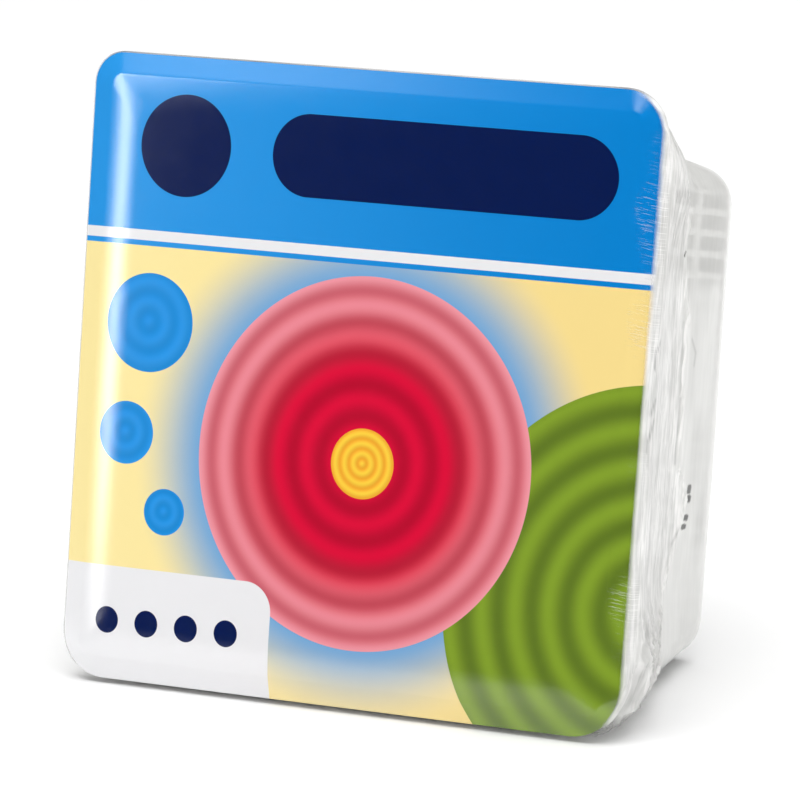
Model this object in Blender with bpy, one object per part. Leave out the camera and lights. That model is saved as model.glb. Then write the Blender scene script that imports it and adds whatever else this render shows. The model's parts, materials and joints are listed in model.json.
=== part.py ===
"""A shrink-wrapped pond basket with a printed card over its mouth, laid down on one side wall.

Every piece is modelled upright in the basket's own frame: X to the right, Z up the card, and Y
from the card's face back to the basket's base. One empty then tips them all back, so that the
film's lower wall lies flat on the ground. Metres throughout.
"""

import math

import bmesh
import bpy
from mathutils import Matrix, Vector

# Driving dimensions of the basket, a common 19 x 19 x 10 cm size
RIM_HALF = 0.0950
RIM_RADIUS = 0.0220
BASKET_DEPTH = 0.0996
WALL = 0.0015
BASE_THICKNESS = 0.0018
BODY_HALF_AT_RIM = 0.0836
BODY_HALF_AT_BASE = 0.0763
BODY_RADIUS = 0.0120
BASE_EDGE = 0.0030

# The flange runs out flat, then slopes back to a turned-down lip
FLANGE_FRONT = 0.0008
FLANGE_BEND_HALF = 0.0870
FLANGE_SLOPE = 0.35
LIP_END = 0.0085

# Slots in the side walls, counted out from the middle of each wall
SLOT_PITCH = 0.0066
SLOT_WIDTH = 0.0043
SLOTS_EACH_SIDE = 10
SLOT_LENGTH = 0.0230
SLOT_BAND = 0.0080
SLOT_ROWS = 3
LAST_SLOT_END = 0.0930

# Slots in the base
BASE_SLOT_PITCH = 0.0090
BASE_SLOT_WIDTH = 0.0055
BASE_SLOTS_EACH_SIDE = 6
BASE_SLOT_LENGTH = 0.0340
BASE_SLOT_BAND = 0.0090

# The card over the mouth, with its border bent back along the flange
CARD_HALF = 0.0956
CARD_RADIUS = 0.0146
CARD_THICKNESS = 0.00045
CARD_CREASE_HALF = 0.0875
CARD_CREASE_RADIUS = 0.0040

# The film around everything, drawn in behind the lip and flat under the basket
FILM_GAP = 0.0003
FILM_THICKNESS = 0.0002
FILM_MEETS_WALL = 0.0580
FILM_SAG = 0.0012
FILM_STEPS = 6
VENT_RADIUS = 0.0030

# The soft bag that fills the basket
BAG_FRONT = 0.0045
BAG_BACK_GAP = 0.0014
BAG_SIDE_GAP = 0.0016
BAG_REST_GAP = 0.00035
BAG_SHOULDER = 0.0130
BAG_RADIUS = 0.0160

CORNER_STEPS = 6
EDGE_STEPS = 3
SMOOTH_ANGLE = math.radians(35.0)


def clear_scene():
    """Remove the objects that a new file starts with."""
    for item in list(bpy.data.objects):
        bpy.data.objects.remove(item, do_unlink=True)


def make_material(name, colour, roughness, alpha=1.0):
    """A plain surface with its own colour and gloss."""
    material = bpy.data.materials.new(name)
    material.use_nodes = True
    shader = material.node_tree.nodes["Principled BSDF"]
    shader.inputs["Base Color"].default_value = (*colour, 1.0)
    shader.inputs["Roughness"].default_value = roughness
    shader.inputs["Metallic"].default_value = 0.0
    shader.inputs["Alpha"].default_value = alpha
    return material


def body_half(depth):
    """Half the width of the tapered body at a depth behind the card."""
    share = depth / BASKET_DEPTH
    return BODY_HALF_AT_RIM + (BODY_HALF_AT_BASE - BODY_HALF_AT_RIM) * share


def ring(depth, side, radius, top=None, bottom=None):
    """The points of one rounded rectangle across the basket at the given depth."""
    top = side if top is None else top
    bottom = side if bottom is None else bottom
    corners = (
        (side - radius, top - radius, 0.0),
        (radius - side, top - radius, 90.0),
        (radius - side, radius - bottom, 180.0),
        (side - radius, radius - bottom, 270.0),
    )
    points = []
    for centre_x, centre_z, start in corners:
        for step in range(CORNER_STEPS + 1):
            angle = math.radians(start + 90.0 * step / CORNER_STEPS)
            x = centre_x + radius * math.cos(angle)
            z = centre_z + radius * math.sin(angle)
            points.append(Vector((x, depth, z)))
    return points


def circle(depth, radius):
    """A round ring with as many points as a rounded rectangle has."""
    points = []
    for corner in range(4):
        for step in range(CORNER_STEPS + 1):
            angle = math.radians(90.0 * corner + 90.0 * (step + 0.5) / (CORNER_STEPS + 1))
            points.append(Vector((radius * math.cos(angle), depth, radius * math.sin(angle))))
    return points


def loft(name, rings, material, parent):
    """Join the rings with quads, close both ends and link the closed body."""
    mesh = bmesh.new()
    rows = [[mesh.verts.new(point) for point in row] for row in rings]
    for near, far in zip(rows, rows[1:]):
        for index, corner in enumerate(near):
            after = (index + 1) % len(near)
            mesh.faces.new((corner, near[after], far[after], far[index]))
    mesh.faces.new(rows[0])
    mesh.faces.new(rows[-1])
    bmesh.ops.recalc_face_normals(mesh, faces=mesh.faces)
    data = bpy.data.meshes.new(name)
    mesh.to_mesh(data)
    mesh.free()
    data.shade_smooth()
    data.set_sharp_from_angle(angle=SMOOTH_ANGLE)
    data.materials.append(material)
    piece = bpy.data.objects.new(name, data)
    bpy.context.collection.objects.link(piece)
    piece.parent = parent
    return piece


def rounded_end(depth, side, radius, edge):
    """Rings that round a body's outer edge over to its flat end at the given depth."""
    rings = []
    for step in range(EDGE_STEPS + 1):
        angle = math.radians(90.0 * step / EDGE_STEPS)
        drawn_in = edge * (1.0 - math.cos(angle))
        rings.append(ring(depth - edge + edge * math.sin(angle), side - drawn_in, radius - drawn_in))
    return rings


def flange_depth(half, offset=0.0):
    """Depth of the flange's front where it is half wide, moved back by the offset."""
    return FLANGE_FRONT + offset + FLANGE_SLOPE * max(0.0, half - FLANGE_BEND_HALF)


def slot_cutter(name, boxes, parent):
    """One wire object that holds every box cut out of the basket."""
    mesh = bmesh.new()
    for centre, size in boxes:
        placed = Matrix.Translation(centre) @ Matrix.Diagonal((*size, 1.0))
        bmesh.ops.create_cube(mesh, size=1.0, matrix=placed)
    data = bpy.data.meshes.new(name)
    mesh.to_mesh(data)
    mesh.free()
    cutter = bpy.data.objects.new(name, data)
    bpy.context.collection.objects.link(cutter)
    cutter.parent = parent
    cutter.hide_render = True
    cutter.display_type = "WIRE"
    return cutter


def wall_slots(across):
    """Boxes that run through two opposite walls, along X or along Z."""
    reach = 2.0 * (RIM_HALF - 2.0 * WALL)
    boxes = []
    for row in range(SLOT_ROWS):
        end = LAST_SLOT_END - row * (SLOT_LENGTH + SLOT_BAND)
        depth = end - SLOT_LENGTH / 2.0
        for count in range(-SLOTS_EACH_SIDE, SLOTS_EACH_SIDE + 1):
            place = count * SLOT_PITCH
            if across == "X":
                boxes.append((Vector((0.0, depth, place)), (reach, SLOT_LENGTH, SLOT_WIDTH)))
            else:
                boxes.append((Vector((place, depth, 0.0)), (SLOT_WIDTH, SLOT_LENGTH, reach)))
    return boxes


def base_slots():
    """Boxes that run through the base, in three rows."""
    boxes = []
    for row in (-1, 0, 1):
        height = row * (BASE_SLOT_LENGTH + BASE_SLOT_BAND)
        for count in range(-BASE_SLOTS_EACH_SIDE, BASE_SLOTS_EACH_SIDE + 1):
            centre = Vector((count * BASE_SLOT_PITCH, BASKET_DEPTH, height))
            boxes.append((centre, (BASE_SLOT_WIDTH, 4.0 * BASE_THICKNESS, BASE_SLOT_LENGTH)))
    return boxes


def make_basket(parent):
    """The moulded basket: base, tapered lattice walls, sloping flange and lip."""
    white = make_material("white_plastic", (0.86, 0.86, 0.85), 0.42)
    lip_inner = RIM_HALF - WALL
    inner_radius = BODY_RADIUS - WALL
    outer_end = body_half(BASKET_DEPTH - BASE_EDGE)
    floor = BASKET_DEPTH - BASE_THICKNESS
    inner_end = body_half(floor) - WALL
    rings = list(reversed(rounded_end(BASKET_DEPTH, outer_end, BODY_RADIUS, BASE_EDGE)))
    under = flange_depth(FLANGE_BEND_HALF, WALL)
    rings.append(ring(under, body_half(under), BODY_RADIUS))
    rings.append(ring(under, FLANGE_BEND_HALF, BODY_RADIUS + WALL))
    rings.append(ring(flange_depth(lip_inner, WALL), lip_inner, RIM_RADIUS - WALL))
    rings.append(ring(LIP_END, lip_inner, RIM_RADIUS - WALL))
    rings.append(ring(LIP_END, RIM_HALF, RIM_RADIUS))
    rings.append(ring(flange_depth(RIM_HALF), RIM_HALF, RIM_RADIUS))
    rings.append(ring(FLANGE_FRONT, FLANGE_BEND_HALF, BODY_RADIUS + WALL))
    rings.append(ring(FLANGE_FRONT, body_half(FLANGE_FRONT) - WALL, inner_radius))
    rings.extend(rounded_end(floor, inner_end, inner_radius, BASE_EDGE - WALL))
    basket = loft("basket", rings, white, parent)
    cutters = (
        slot_cutter("slots_left_right", wall_slots("X"), parent),
        slot_cutter("slots_up_down", wall_slots("Z"), parent),
        slot_cutter("slots_base", base_slots(), parent),
    )
    for cutter in cutters:
        cut = basket.modifiers.new(cutter.name, "BOOLEAN")
        cut.operation = "DIFFERENCE"
        cut.solver = "EXACT"
        cut.object = cutter
    return basket


def make_card(parent):
    """The card: a flat face, and a border that slopes back over the flange."""
    paper = make_material("printed_card", (0.16, 0.42, 0.80), 0.35)
    drop = FLANGE_SLOPE * (CARD_HALF - CARD_CREASE_HALF)
    rings = [
        ring(0.0, CARD_CREASE_HALF, CARD_CREASE_RADIUS),
        ring(drop, CARD_HALF, CARD_RADIUS),
        ring(drop + CARD_THICKNESS, CARD_HALF, CARD_RADIUS),
        ring(CARD_THICKNESS, CARD_CREASE_HALF, CARD_CREASE_RADIUS),
    ]
    return loft("label_card", rings, paper, parent)


def film_profile():
    """Depth, side and bottom half widths and corner radius of the film's outer wall."""
    skin = FILM_GAP + FILM_THICKNESS
    lip_half = CARD_HALF + skin
    lip_depth = LIP_END + skin
    end_depth = BASKET_DEPTH - BASE_EDGE
    end_half = body_half(end_depth) + skin
    meet_half = body_half(FILM_MEETS_WALL) + skin
    fall = (end_half - lip_half) / (end_depth - lip_depth)
    stations = [(lip_depth, lip_half, lip_half, RIM_RADIUS + skin)]
    for step in range(1, FILM_STEPS + 1):
        share = step / FILM_STEPS
        depth = lip_depth + (FILM_MEETS_WALL - lip_depth) * share
        side = lip_half + (meet_half - lip_half) * share - FILM_SAG * math.sin(math.pi * share)
        bottom = lip_half + fall * (depth - lip_depth)
        radius = RIM_RADIUS + skin + (BODY_RADIUS - RIM_RADIUS) * share
        stations.append((depth, side, bottom, radius))
    stations.append((end_depth, end_half, end_half, BODY_RADIUS + skin))
    return stations


def film_rings(inset):
    """Rings of the film's surface, from its flat front to its flat back, moved in by the inset."""
    skin = FILM_GAP + FILM_THICKNESS - inset
    drop = FLANGE_SLOPE * (CARD_HALF - CARD_CREASE_HALF)
    rings = [
        ring(-skin, CARD_CREASE_HALF - inset * FLANGE_SLOPE, CARD_CREASE_RADIUS),
        ring(drop - skin, CARD_HALF + skin, CARD_RADIUS + skin),
        ring(drop + CARD_THICKNESS + FILM_GAP, CARD_HALF + skin, CARD_RADIUS + skin),
    ]
    for depth, side, bottom, radius in film_profile():
        rings.append(ring(depth, side - inset, radius - inset, bottom=bottom - inset))
    last_depth, last_half, last_bottom, last_radius = film_profile()[-1]
    edge = BASKET_DEPTH + skin - last_depth
    rings.extend(rounded_end(BASKET_DEPTH + skin, last_half - inset, last_radius - inset, edge)[1:])
    rings.append(circle(BASKET_DEPTH + skin, VENT_RADIUS))
    return rings


def make_film(parent):
    """The clear film: one thin shell all round, open at a round vent in its back."""
    clear = make_material("clear_film", (0.95, 0.95, 0.95), 0.12, alpha=0.25)
    rings = film_rings(0.0) + list(reversed(film_rings(FILM_THICKNESS)))
    return loft("shrink_film", rings, clear, parent)


def make_bag(parent):
    """The soft bag inside: full at its middle, with rounded shoulders, lying on the lower wall."""
    pale = make_material("pale_fleece", (0.74, 0.74, 0.72), 0.80)
    back = BASKET_DEPTH - BASE_THICKNESS - BAG_BACK_GAP
    rings = []
    for step in range(EDGE_STEPS + 1):
        angle = math.radians(90.0 * step / EDGE_STEPS)
        depth = BAG_FRONT + BAG_SHOULDER * (1.0 - math.cos(angle))
        drawn_in = BAG_SHOULDER * (1.0 - math.sin(angle))
        inner = body_half(depth) - WALL
        side = inner - BAG_SIDE_GAP - drawn_in
        rings.append(ring(depth, side, BAG_RADIUS, bottom=inner - BAG_REST_GAP - drawn_in))
    for step in range(EDGE_STEPS + 1):
        angle = math.radians(90.0 * step / EDGE_STEPS)
        depth = back - BAG_SHOULDER * (1.0 - math.sin(angle))
        drawn_in = BAG_SHOULDER * (1.0 - math.cos(angle))
        inner = body_half(depth) - WALL
        side = inner - BAG_SIDE_GAP - drawn_in
        rings.append(ring(depth, side, BAG_RADIUS, bottom=inner - BAG_REST_GAP - drawn_in))
    return loft("filling_bag", rings, pale, parent)


def lay_down(carrier):
    """Tip the carrier back onto the film's lower wall and centre it over the origin."""
    stations = film_profile()
    first, last = stations[0], stations[-1]
    lean = math.atan2(first[2] - last[2], last[0] - first[0])
    turn = Matrix.Rotation(-lean, 3, "X")
    points = [turn @ point for row in film_rings(0.0) for point in row]
    low_y = min(point.y for point in points)
    high_y = max(point.y for point in points)
    low_z = min(point.z for point in points)
    carrier.rotation_euler = (-lean, 0.0, 0.0)
    carrier.location = (0.0, -(low_y + high_y) / 2.0, -low_z)


def main():
    """Build the four pieces on one carrier, then lay them down."""
    clear_scene()
    carrier = bpy.data.objects.new("laid_on_its_side", None)
    bpy.context.collection.objects.link(carrier)
    make_basket(carrier)
    make_bag(carrier)
    make_card(carrier)
    make_film(carrier)
    lay_down(carrier)


main()
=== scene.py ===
"""Looks of a shrink-wrapped pond basket kit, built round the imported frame.

Its own frame is X to the right, Y from the card's face back to the basket's base, and Z up the
card; one matrix turns that frame onto the ground. Sizes are metres.
"""

from __future__ import annotations

import json
import logging
import math
from dataclasses import dataclass, field
from enum import Enum
from typing import Any, Callable

import bmesh
import bpy
import numpy as np
from mathutils import Matrix, Vector

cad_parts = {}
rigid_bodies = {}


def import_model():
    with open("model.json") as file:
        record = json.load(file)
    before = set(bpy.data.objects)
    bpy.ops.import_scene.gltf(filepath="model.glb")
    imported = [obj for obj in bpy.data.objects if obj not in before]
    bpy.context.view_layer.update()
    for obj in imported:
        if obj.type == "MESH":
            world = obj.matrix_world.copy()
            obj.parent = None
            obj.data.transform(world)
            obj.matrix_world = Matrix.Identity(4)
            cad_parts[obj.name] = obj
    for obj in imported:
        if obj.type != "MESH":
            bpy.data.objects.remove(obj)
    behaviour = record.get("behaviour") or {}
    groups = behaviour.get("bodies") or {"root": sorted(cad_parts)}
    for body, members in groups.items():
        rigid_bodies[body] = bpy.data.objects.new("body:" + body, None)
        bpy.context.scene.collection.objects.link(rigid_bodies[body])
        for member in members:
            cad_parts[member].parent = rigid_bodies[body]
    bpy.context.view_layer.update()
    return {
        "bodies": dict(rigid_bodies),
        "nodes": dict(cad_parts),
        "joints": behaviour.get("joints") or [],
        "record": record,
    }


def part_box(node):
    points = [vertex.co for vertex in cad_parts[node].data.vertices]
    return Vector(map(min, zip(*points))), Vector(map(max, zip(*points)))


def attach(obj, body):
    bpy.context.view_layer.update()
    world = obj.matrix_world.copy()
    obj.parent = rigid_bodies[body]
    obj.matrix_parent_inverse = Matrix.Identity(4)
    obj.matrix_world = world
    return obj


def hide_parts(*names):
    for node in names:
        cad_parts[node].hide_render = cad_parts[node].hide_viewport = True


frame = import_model()

# Short names for the types in the hints.
Array = np.ndarray
Colour = tuple[float, float, float, float]
Material = bpy.types.Material
Mesh = bpy.types.Mesh
Node = bpy.types.Node
Piece = bpy.types.Object
Socket = bpy.types.NodeSocket
Tree = bpy.types.NodeTree

LOG = logging.getLogger("pond_basket_kit")
MM = 0.001
SMOOTH = 180.0
WELD = 0.00002
# Film attributes, in order: milkiness; the fine wrinkles, which are bumped and whitened as painted glints;
# the painted shade and painted shadow marks; the gathered film.
FILM_LAYERS = ("veil", "pucker", "painted_shade", "loose")
MARK_EDGE = 0.12
SOCKET_KINDS = {int: "NodeSocketInt", float: "NodeSocketFloat", tuple: "NodeSocketVector"}


def linear(hex_colour: str) -> Colour:
    """Turn a hex screen colour into the linear colour that shaders use.

    Args:
        hex_colour: Six hex digits, such as "2f95e0".

    Returns:
        Linear red, green and blue, with an alpha of one.
    """
    parts = [int(hex_colour[place:place + 2], 16) / 255.0 for place in (0, 2, 4)]
    bent = [part / 12.92 if part <= 0.04045 else ((part + 0.055) / 1.055) ** 2.4 for part in parts]
    return (bent[0], bent[1], bent[2], 1.0)


class Ink(Enum):
    """The printing inks of the card, as screen colours."""

    SKY = "2a98e6"
    SKY_DEEP = "0283d2"
    NAVY = "00174e"
    CREAM = "ffeca6"
    CREAM_DEEP = "fbe092"
    GLOW = "5ea4de"
    CRIMSON = "e2083a"
    CRIMSON_DEEP = "9c0424"
    PINK = "f9b2bc"
    ORANGE = "f08a1e"
    YELLOW = "ffd544"
    LEAF = "86a42e"
    LEAF_DEEP = "3b4f1c"
    PANEL = "efeff1"

    @property
    def colour(self) -> Colour:
        """The ink's linear colour."""
        return linear(self.value)


class Wall(Enum):
    """The four side walls, by the turn about Y that carries the upper wall onto each."""

    UPPER = 0.0
    RIGHT = 90.0
    LOWER = 180.0
    LEFT = 270.0


class Graph:
    """A node tree, with short calls that add nodes and join them."""

    def __init__(self, tree: Tree) -> None:
        """Keep the tree that the calls write to."""
        self.tree = tree

    def add(self, kind: str, *values: Any, named: dict[str, Any] | None = None, **settings: Any) -> Node:
        """Add a node.

        Args:
            kind: The node's type name.
            *values: What feeds its inputs, in their order.
            named: What feeds its inputs, by their names.
            **settings: Properties to set on it.

        Returns:
            The new node.
        """
        node = self.tree.nodes.new(kind)
        for name, value in settings.items():
            setattr(node, name, value)
        for socket, value in zip(node.inputs, values):
            self.feed(socket, value)
        for name, value in (named or {}).items():
            self.feed(node.inputs[name], value)
        return node

    def feed(self, socket: Socket, value: Any) -> None:
        """Join a value to a socket: a link from another socket, or a plain value.

        Args:
            socket: The socket that gets the value.
            value: Another socket, or a plain value.
        """
        if isinstance(value, Socket):
            self.tree.links.new(value, socket)
        else:
            socket.default_value = value

    def math(self, operation: str, *values: Any, clamp: bool = False) -> Socket:
        """Add one arithmetic step and return its result."""
        return self.add("ShaderNodeMath", *values, operation=operation, use_clamp=clamp).outputs[0]

    def plus(self, first: Any, second: Any) -> Socket:
        """Add two numbers."""
        return self.math("ADD", first, second)

    def minus(self, first: Any, second: Any) -> Socket:
        """Take the second number from the first."""
        return self.math("SUBTRACT", first, second)

    def times(self, first: Any, second: Any, extra: Any = None) -> Socket:
        """Multiply two numbers, and add a third where it is given.

        Args:
            first: The first number.
            second: The second number.
            extra: What is added to the product, or None.

        Returns:
            The result.
        """
        if extra is None:
            return self.math("MULTIPLY", first, second)
        return self.math("MULTIPLY_ADD", first, second, extra)

    def vector(self, operation: str, *values: Any, output: int | str = 0, **named: Any) -> Socket:
        """Add one vector step and return its result."""
        return self.add("ShaderNodeVectorMath", *values, named=named, operation=operation).outputs[output]

    def ramp(self, value: Any, low: Any, high: Any, start: Any = 0.0, end: Any = 1.0,
             style: str = "SMOOTHSTEP") -> Socket:
        """Map a value from one range to another.

        Args:
            value: The value to map.
            low: Where the first range starts.
            high: Where the first range ends.
            start: The result at low.
            end: The result at high.
            style: How the result runs between them.

        Returns:
            The mapped value.
        """
        return self.add("ShaderNodeMapRange", value, low, high, start, end,
                        interpolation_type=style).outputs[0]

    def blend(self, share: Any, first: Any, second: Any) -> Socket:
        """Mix two colours by a share, from 0 for the first to 1 for the second.

        Args:
            share: How much of the second colour.
            first: The colour at 0.
            second: The colour at 1.

        Returns:
            The mixed colour.
        """
        node = self.add("ShaderNodeMix", share, data_type="RGBA")
        self.feed(node.inputs[6], first)
        self.feed(node.inputs[7], second)
        return node.outputs[2]

    def join(self, *numbers: Any) -> Socket:
        """Make a vector of up to three numbers."""
        return self.add("ShaderNodeCombineXYZ", *numbers).outputs[0]

    def split(self, vector: Any) -> tuple[Socket, ...]:
        """Take a vector apart into its three numbers."""
        return tuple(self.add("ShaderNodeSeparateXYZ", vector).outputs)

    def noise(self, vector: Any, scale: float, detail: float = 2.0, rough: float = 0.5,
              dimensions: str = "3D") -> Socket:
        """Read a noise value at a place."""
        named = {"Vector": vector, "Scale": scale, "Detail": detail, "Roughness": rough}
        return self.add("ShaderNodeTexNoise", named=named, noise_dimensions=dimensions).outputs[0]

    def call(self, group: Tree, **values: Any) -> Any:
        """Place a shader node group, feed its inputs and return its outputs."""
        return self.add("ShaderNodeGroup", named=values, node_tree=group).outputs

    def dress(self, shader: Node, colour: Any, gloss: Any, height: Any, strength: float,
              distance: float) -> None:
        """Give a shader its colour, its roughness and a bump.

        Args:
            shader: The shader node.
            colour: Its base colour.
            gloss: Its roughness.
            height: The height that the bump reads.
            strength: How strong the bump is.
            distance: How far the height reaches, in metres.
        """
        named = {"Strength": strength, "Distance": distance, "Height": height}
        bump = self.add("ShaderNodeBump", named=named)
        for name, value in (("Base Color", colour), ("Roughness", gloss), ("Normal", bump.outputs[0])):
            self.feed(shader.inputs[name], value)


def open_inputs(tree: Tree, inputs: dict[str, Any]) -> None:
    """Give a tree one input for each value: of the value's own kind, with the value as its default.

    Args:
        tree: The tree.
        inputs: The defaults, by the inputs' names.
    """
    for label, value in inputs.items():
        kind = SOCKET_KINDS[type(value)]
        tree.interface.new_socket(name=label, in_out="INPUT", socket_type=kind).default_value = value


def shader_group(name: str, wire: Callable[[Graph, Any], dict[str, Any]], **inputs: Any) -> Tree:
    """Build a shader node group whose outputs are numbers.

    Args:
        name: The group's name.
        wire: Joins the nodes, and returns what feeds each output.
        **inputs: Each input's default.

    Returns:
        The finished group.
    """
    tree = bpy.data.node_groups.new(name, "ShaderNodeTree")
    open_inputs(tree, inputs)
    graph = Graph(tree)
    results = wire(graph, graph.add("NodeGroupInput").outputs)
    for label in results:
        tree.interface.new_socket(name=label, in_out="OUTPUT", socket_type="NodeSocketFloat")
    graph.add("NodeGroupOutput", named=results)
    return tree


def wire_grain(graph: Graph, given: Any) -> dict[str, Any]:
    """Fine grain: one noise read at two sizes, for height and for gloss.

    Args:
        graph: The tree to write to.
        given: The tree's inputs.

    Returns:
        What feeds each output.
    """
    place = graph.vector("SCALE", given["Place"], Scale=given["Scale"])
    fine = graph.noise(place, 1.0, 3.0, 0.6)
    broad = graph.noise(place, 0.07, 2.0)
    swing = graph.minus(graph.plus(fine, broad), 1.0)
    return {"Height": graph.times(fine, given["Depth"]),
            "Roughness": graph.times(swing, given["Swing"], given["Middle"]), "Broad": broad}


def wire_rings(graph: Graph, given: Any) -> dict[str, Any]:
    """A round mark of rings: its edge mask, its waves and how far out a place lies.

    Args:
        graph: The tree to write to.
        given: The tree's inputs.

    Returns:
        What feeds each output.
    """
    arm = graph.vector("SUBTRACT", given["Place"], given["Centre"])
    reach = graph.vector("LENGTH", arm, output="Value")
    mask = graph.ramp(reach, graph.plus(given["Radius"], given["Edge"]), given["Radius"])
    turn = graph.times(graph.math("DIVIDE", reach, given["Pitch"]), math.tau)
    wave = graph.times(graph.math("COSINE", turn), 0.5, 0.5)
    lit = graph.vector("DOT_PRODUCT", graph.vector("NORMALIZE", arm), (-0.6, 0.8, 0.0), output="Value")
    relief = graph.times(graph.math("SINE", turn), lit)
    return {"Mask": mask, "Wave": wave, "Relief": relief,
            "Share": graph.math("DIVIDE", reach, given["Radius"])}


def wire_plate(graph: Graph, given: Any) -> dict[str, Any]:
    """A rounded rectangle: its edge mask.

    Args:
        graph: The tree to write to.
        given: The tree's inputs.

    Returns:
        What feeds each output.
    """
    spread = graph.vector("ABSOLUTE", graph.vector("SUBTRACT", given["Place"], given["Centre"]))
    rounding = given["Round"]
    corner = graph.vector("SUBTRACT", given["Half"], graph.join(rounding, rounding))
    across, up, _ = graph.split(graph.vector("SUBTRACT", spread, corner))
    past = graph.join(graph.math("MAXIMUM", across, 0.0), graph.math("MAXIMUM", up, 0.0))
    inside = graph.math("MINIMUM", graph.math("MAXIMUM", across, up), 0.0)
    distance = graph.minus(graph.plus(graph.vector("LENGTH", past, output="Value"), inside), rounding)
    return {"Mask": graph.ramp(distance, given["Edge"], 0.0)}


@dataclass(frozen=True)
class Groups:
    """The shader node groups that the finishes share."""

    grain: Tree
    rings: Tree
    plate: Tree

    @classmethod
    def build(cls) -> Groups:
        """Make every group once.

        Returns:
            The groups.
        """
        start = (0.0, 0.0, 0.0)
        return cls(
            shader_group("fine_grain", wire_grain, Place=start, Scale=900.0, Depth=1.0, Middle=0.4,
                         Swing=0.1),
            shader_group("ring_mark", wire_rings, Place=start, Centre=start, Radius=10.0, Pitch=4.0,
                         Edge=MARK_EDGE),
            shader_group("plate_mark", wire_plate, Place=start, Centre=start, Half=(10.0, 5.0, 0.0),
                         Round=2.0, Edge=MARK_EDGE))


def new_material(name: str) -> tuple[Material, Graph, Node]:
    """Start a material and return it with its graph and its Principled shader.

    Args:
        name: The material's name.

    Returns:
        The material, its graph and its shader.
    """
    material = bpy.data.materials.new(name)
    material.use_nodes = True
    return material, Graph(material.node_tree), material.node_tree.nodes["Principled BSDF"]


@dataclass(frozen=True)
class MouldedPlastic:
    """White moulded plastic with a low sheen and a very fine grain."""

    groups: Groups
    light: Colour = linear("f4f4f2")
    dull: Colour = linear("e6e6e3")
    grain_scale: float = 2200.0
    roughness: float = 0.42
    swing: float = 0.16
    bump: tuple[float, float] = (0.25, 0.00002)

    def material(self) -> Material:
        """Build the finish.

        Returns:
            The material.
        """
        material, graph, shader = new_material("white_moulded_plastic")
        grain = graph.call(self.groups.grain, Place=graph.add("ShaderNodeTexCoord").outputs["Object"],
                           Scale=self.grain_scale, Middle=self.roughness, Swing=self.swing)
        tint = graph.blend(grain["Broad"], self.light, self.dull)
        graph.dress(shader, tint, grain["Roughness"], grain["Height"], *self.bump)
        return material


@dataclass(frozen=True)
class Fleece:
    """The pale soft cloth of the filling bag, with a fine felted nap."""

    groups: Groups
    light: Colour = linear("f2f2ef")
    dull: Colour = linear("dfdfdb")
    nap_scale: float = 1500.0
    roughness: float = 0.85
    swing: float = 0.1
    sheen: float = 0.25
    bump: tuple[float, float] = (0.5, 0.0002)

    def material(self) -> Material:
        """Build the finish.

        Returns:
            The material.
        """
        material, graph, shader = new_material("pale_fleece")
        grain = graph.call(self.groups.grain, Place=graph.add("ShaderNodeTexCoord").outputs["Object"],
                           Scale=self.nap_scale, Middle=self.roughness, Swing=self.swing)
        tint = graph.blend(grain["Height"], self.dull, self.light)
        graph.dress(shader, tint, grain["Roughness"], grain["Height"], *self.bump)
        shader.inputs["Sheen Weight"].default_value = self.sheen
        return material


@dataclass(frozen=True)
class RingMark:
    """One round mark of the print, in millimetres from the card's middle."""

    centre: tuple[float, float]
    radius: float
    pitch: float
    low: Ink
    high: Ink


@dataclass(frozen=True)
class PlateMark:
    """One plain rounded plate of the print, in millimetres from the card's middle."""

    centre: tuple[float, float]
    half: tuple[float, float]
    rounding: float
    ink: Ink


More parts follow.
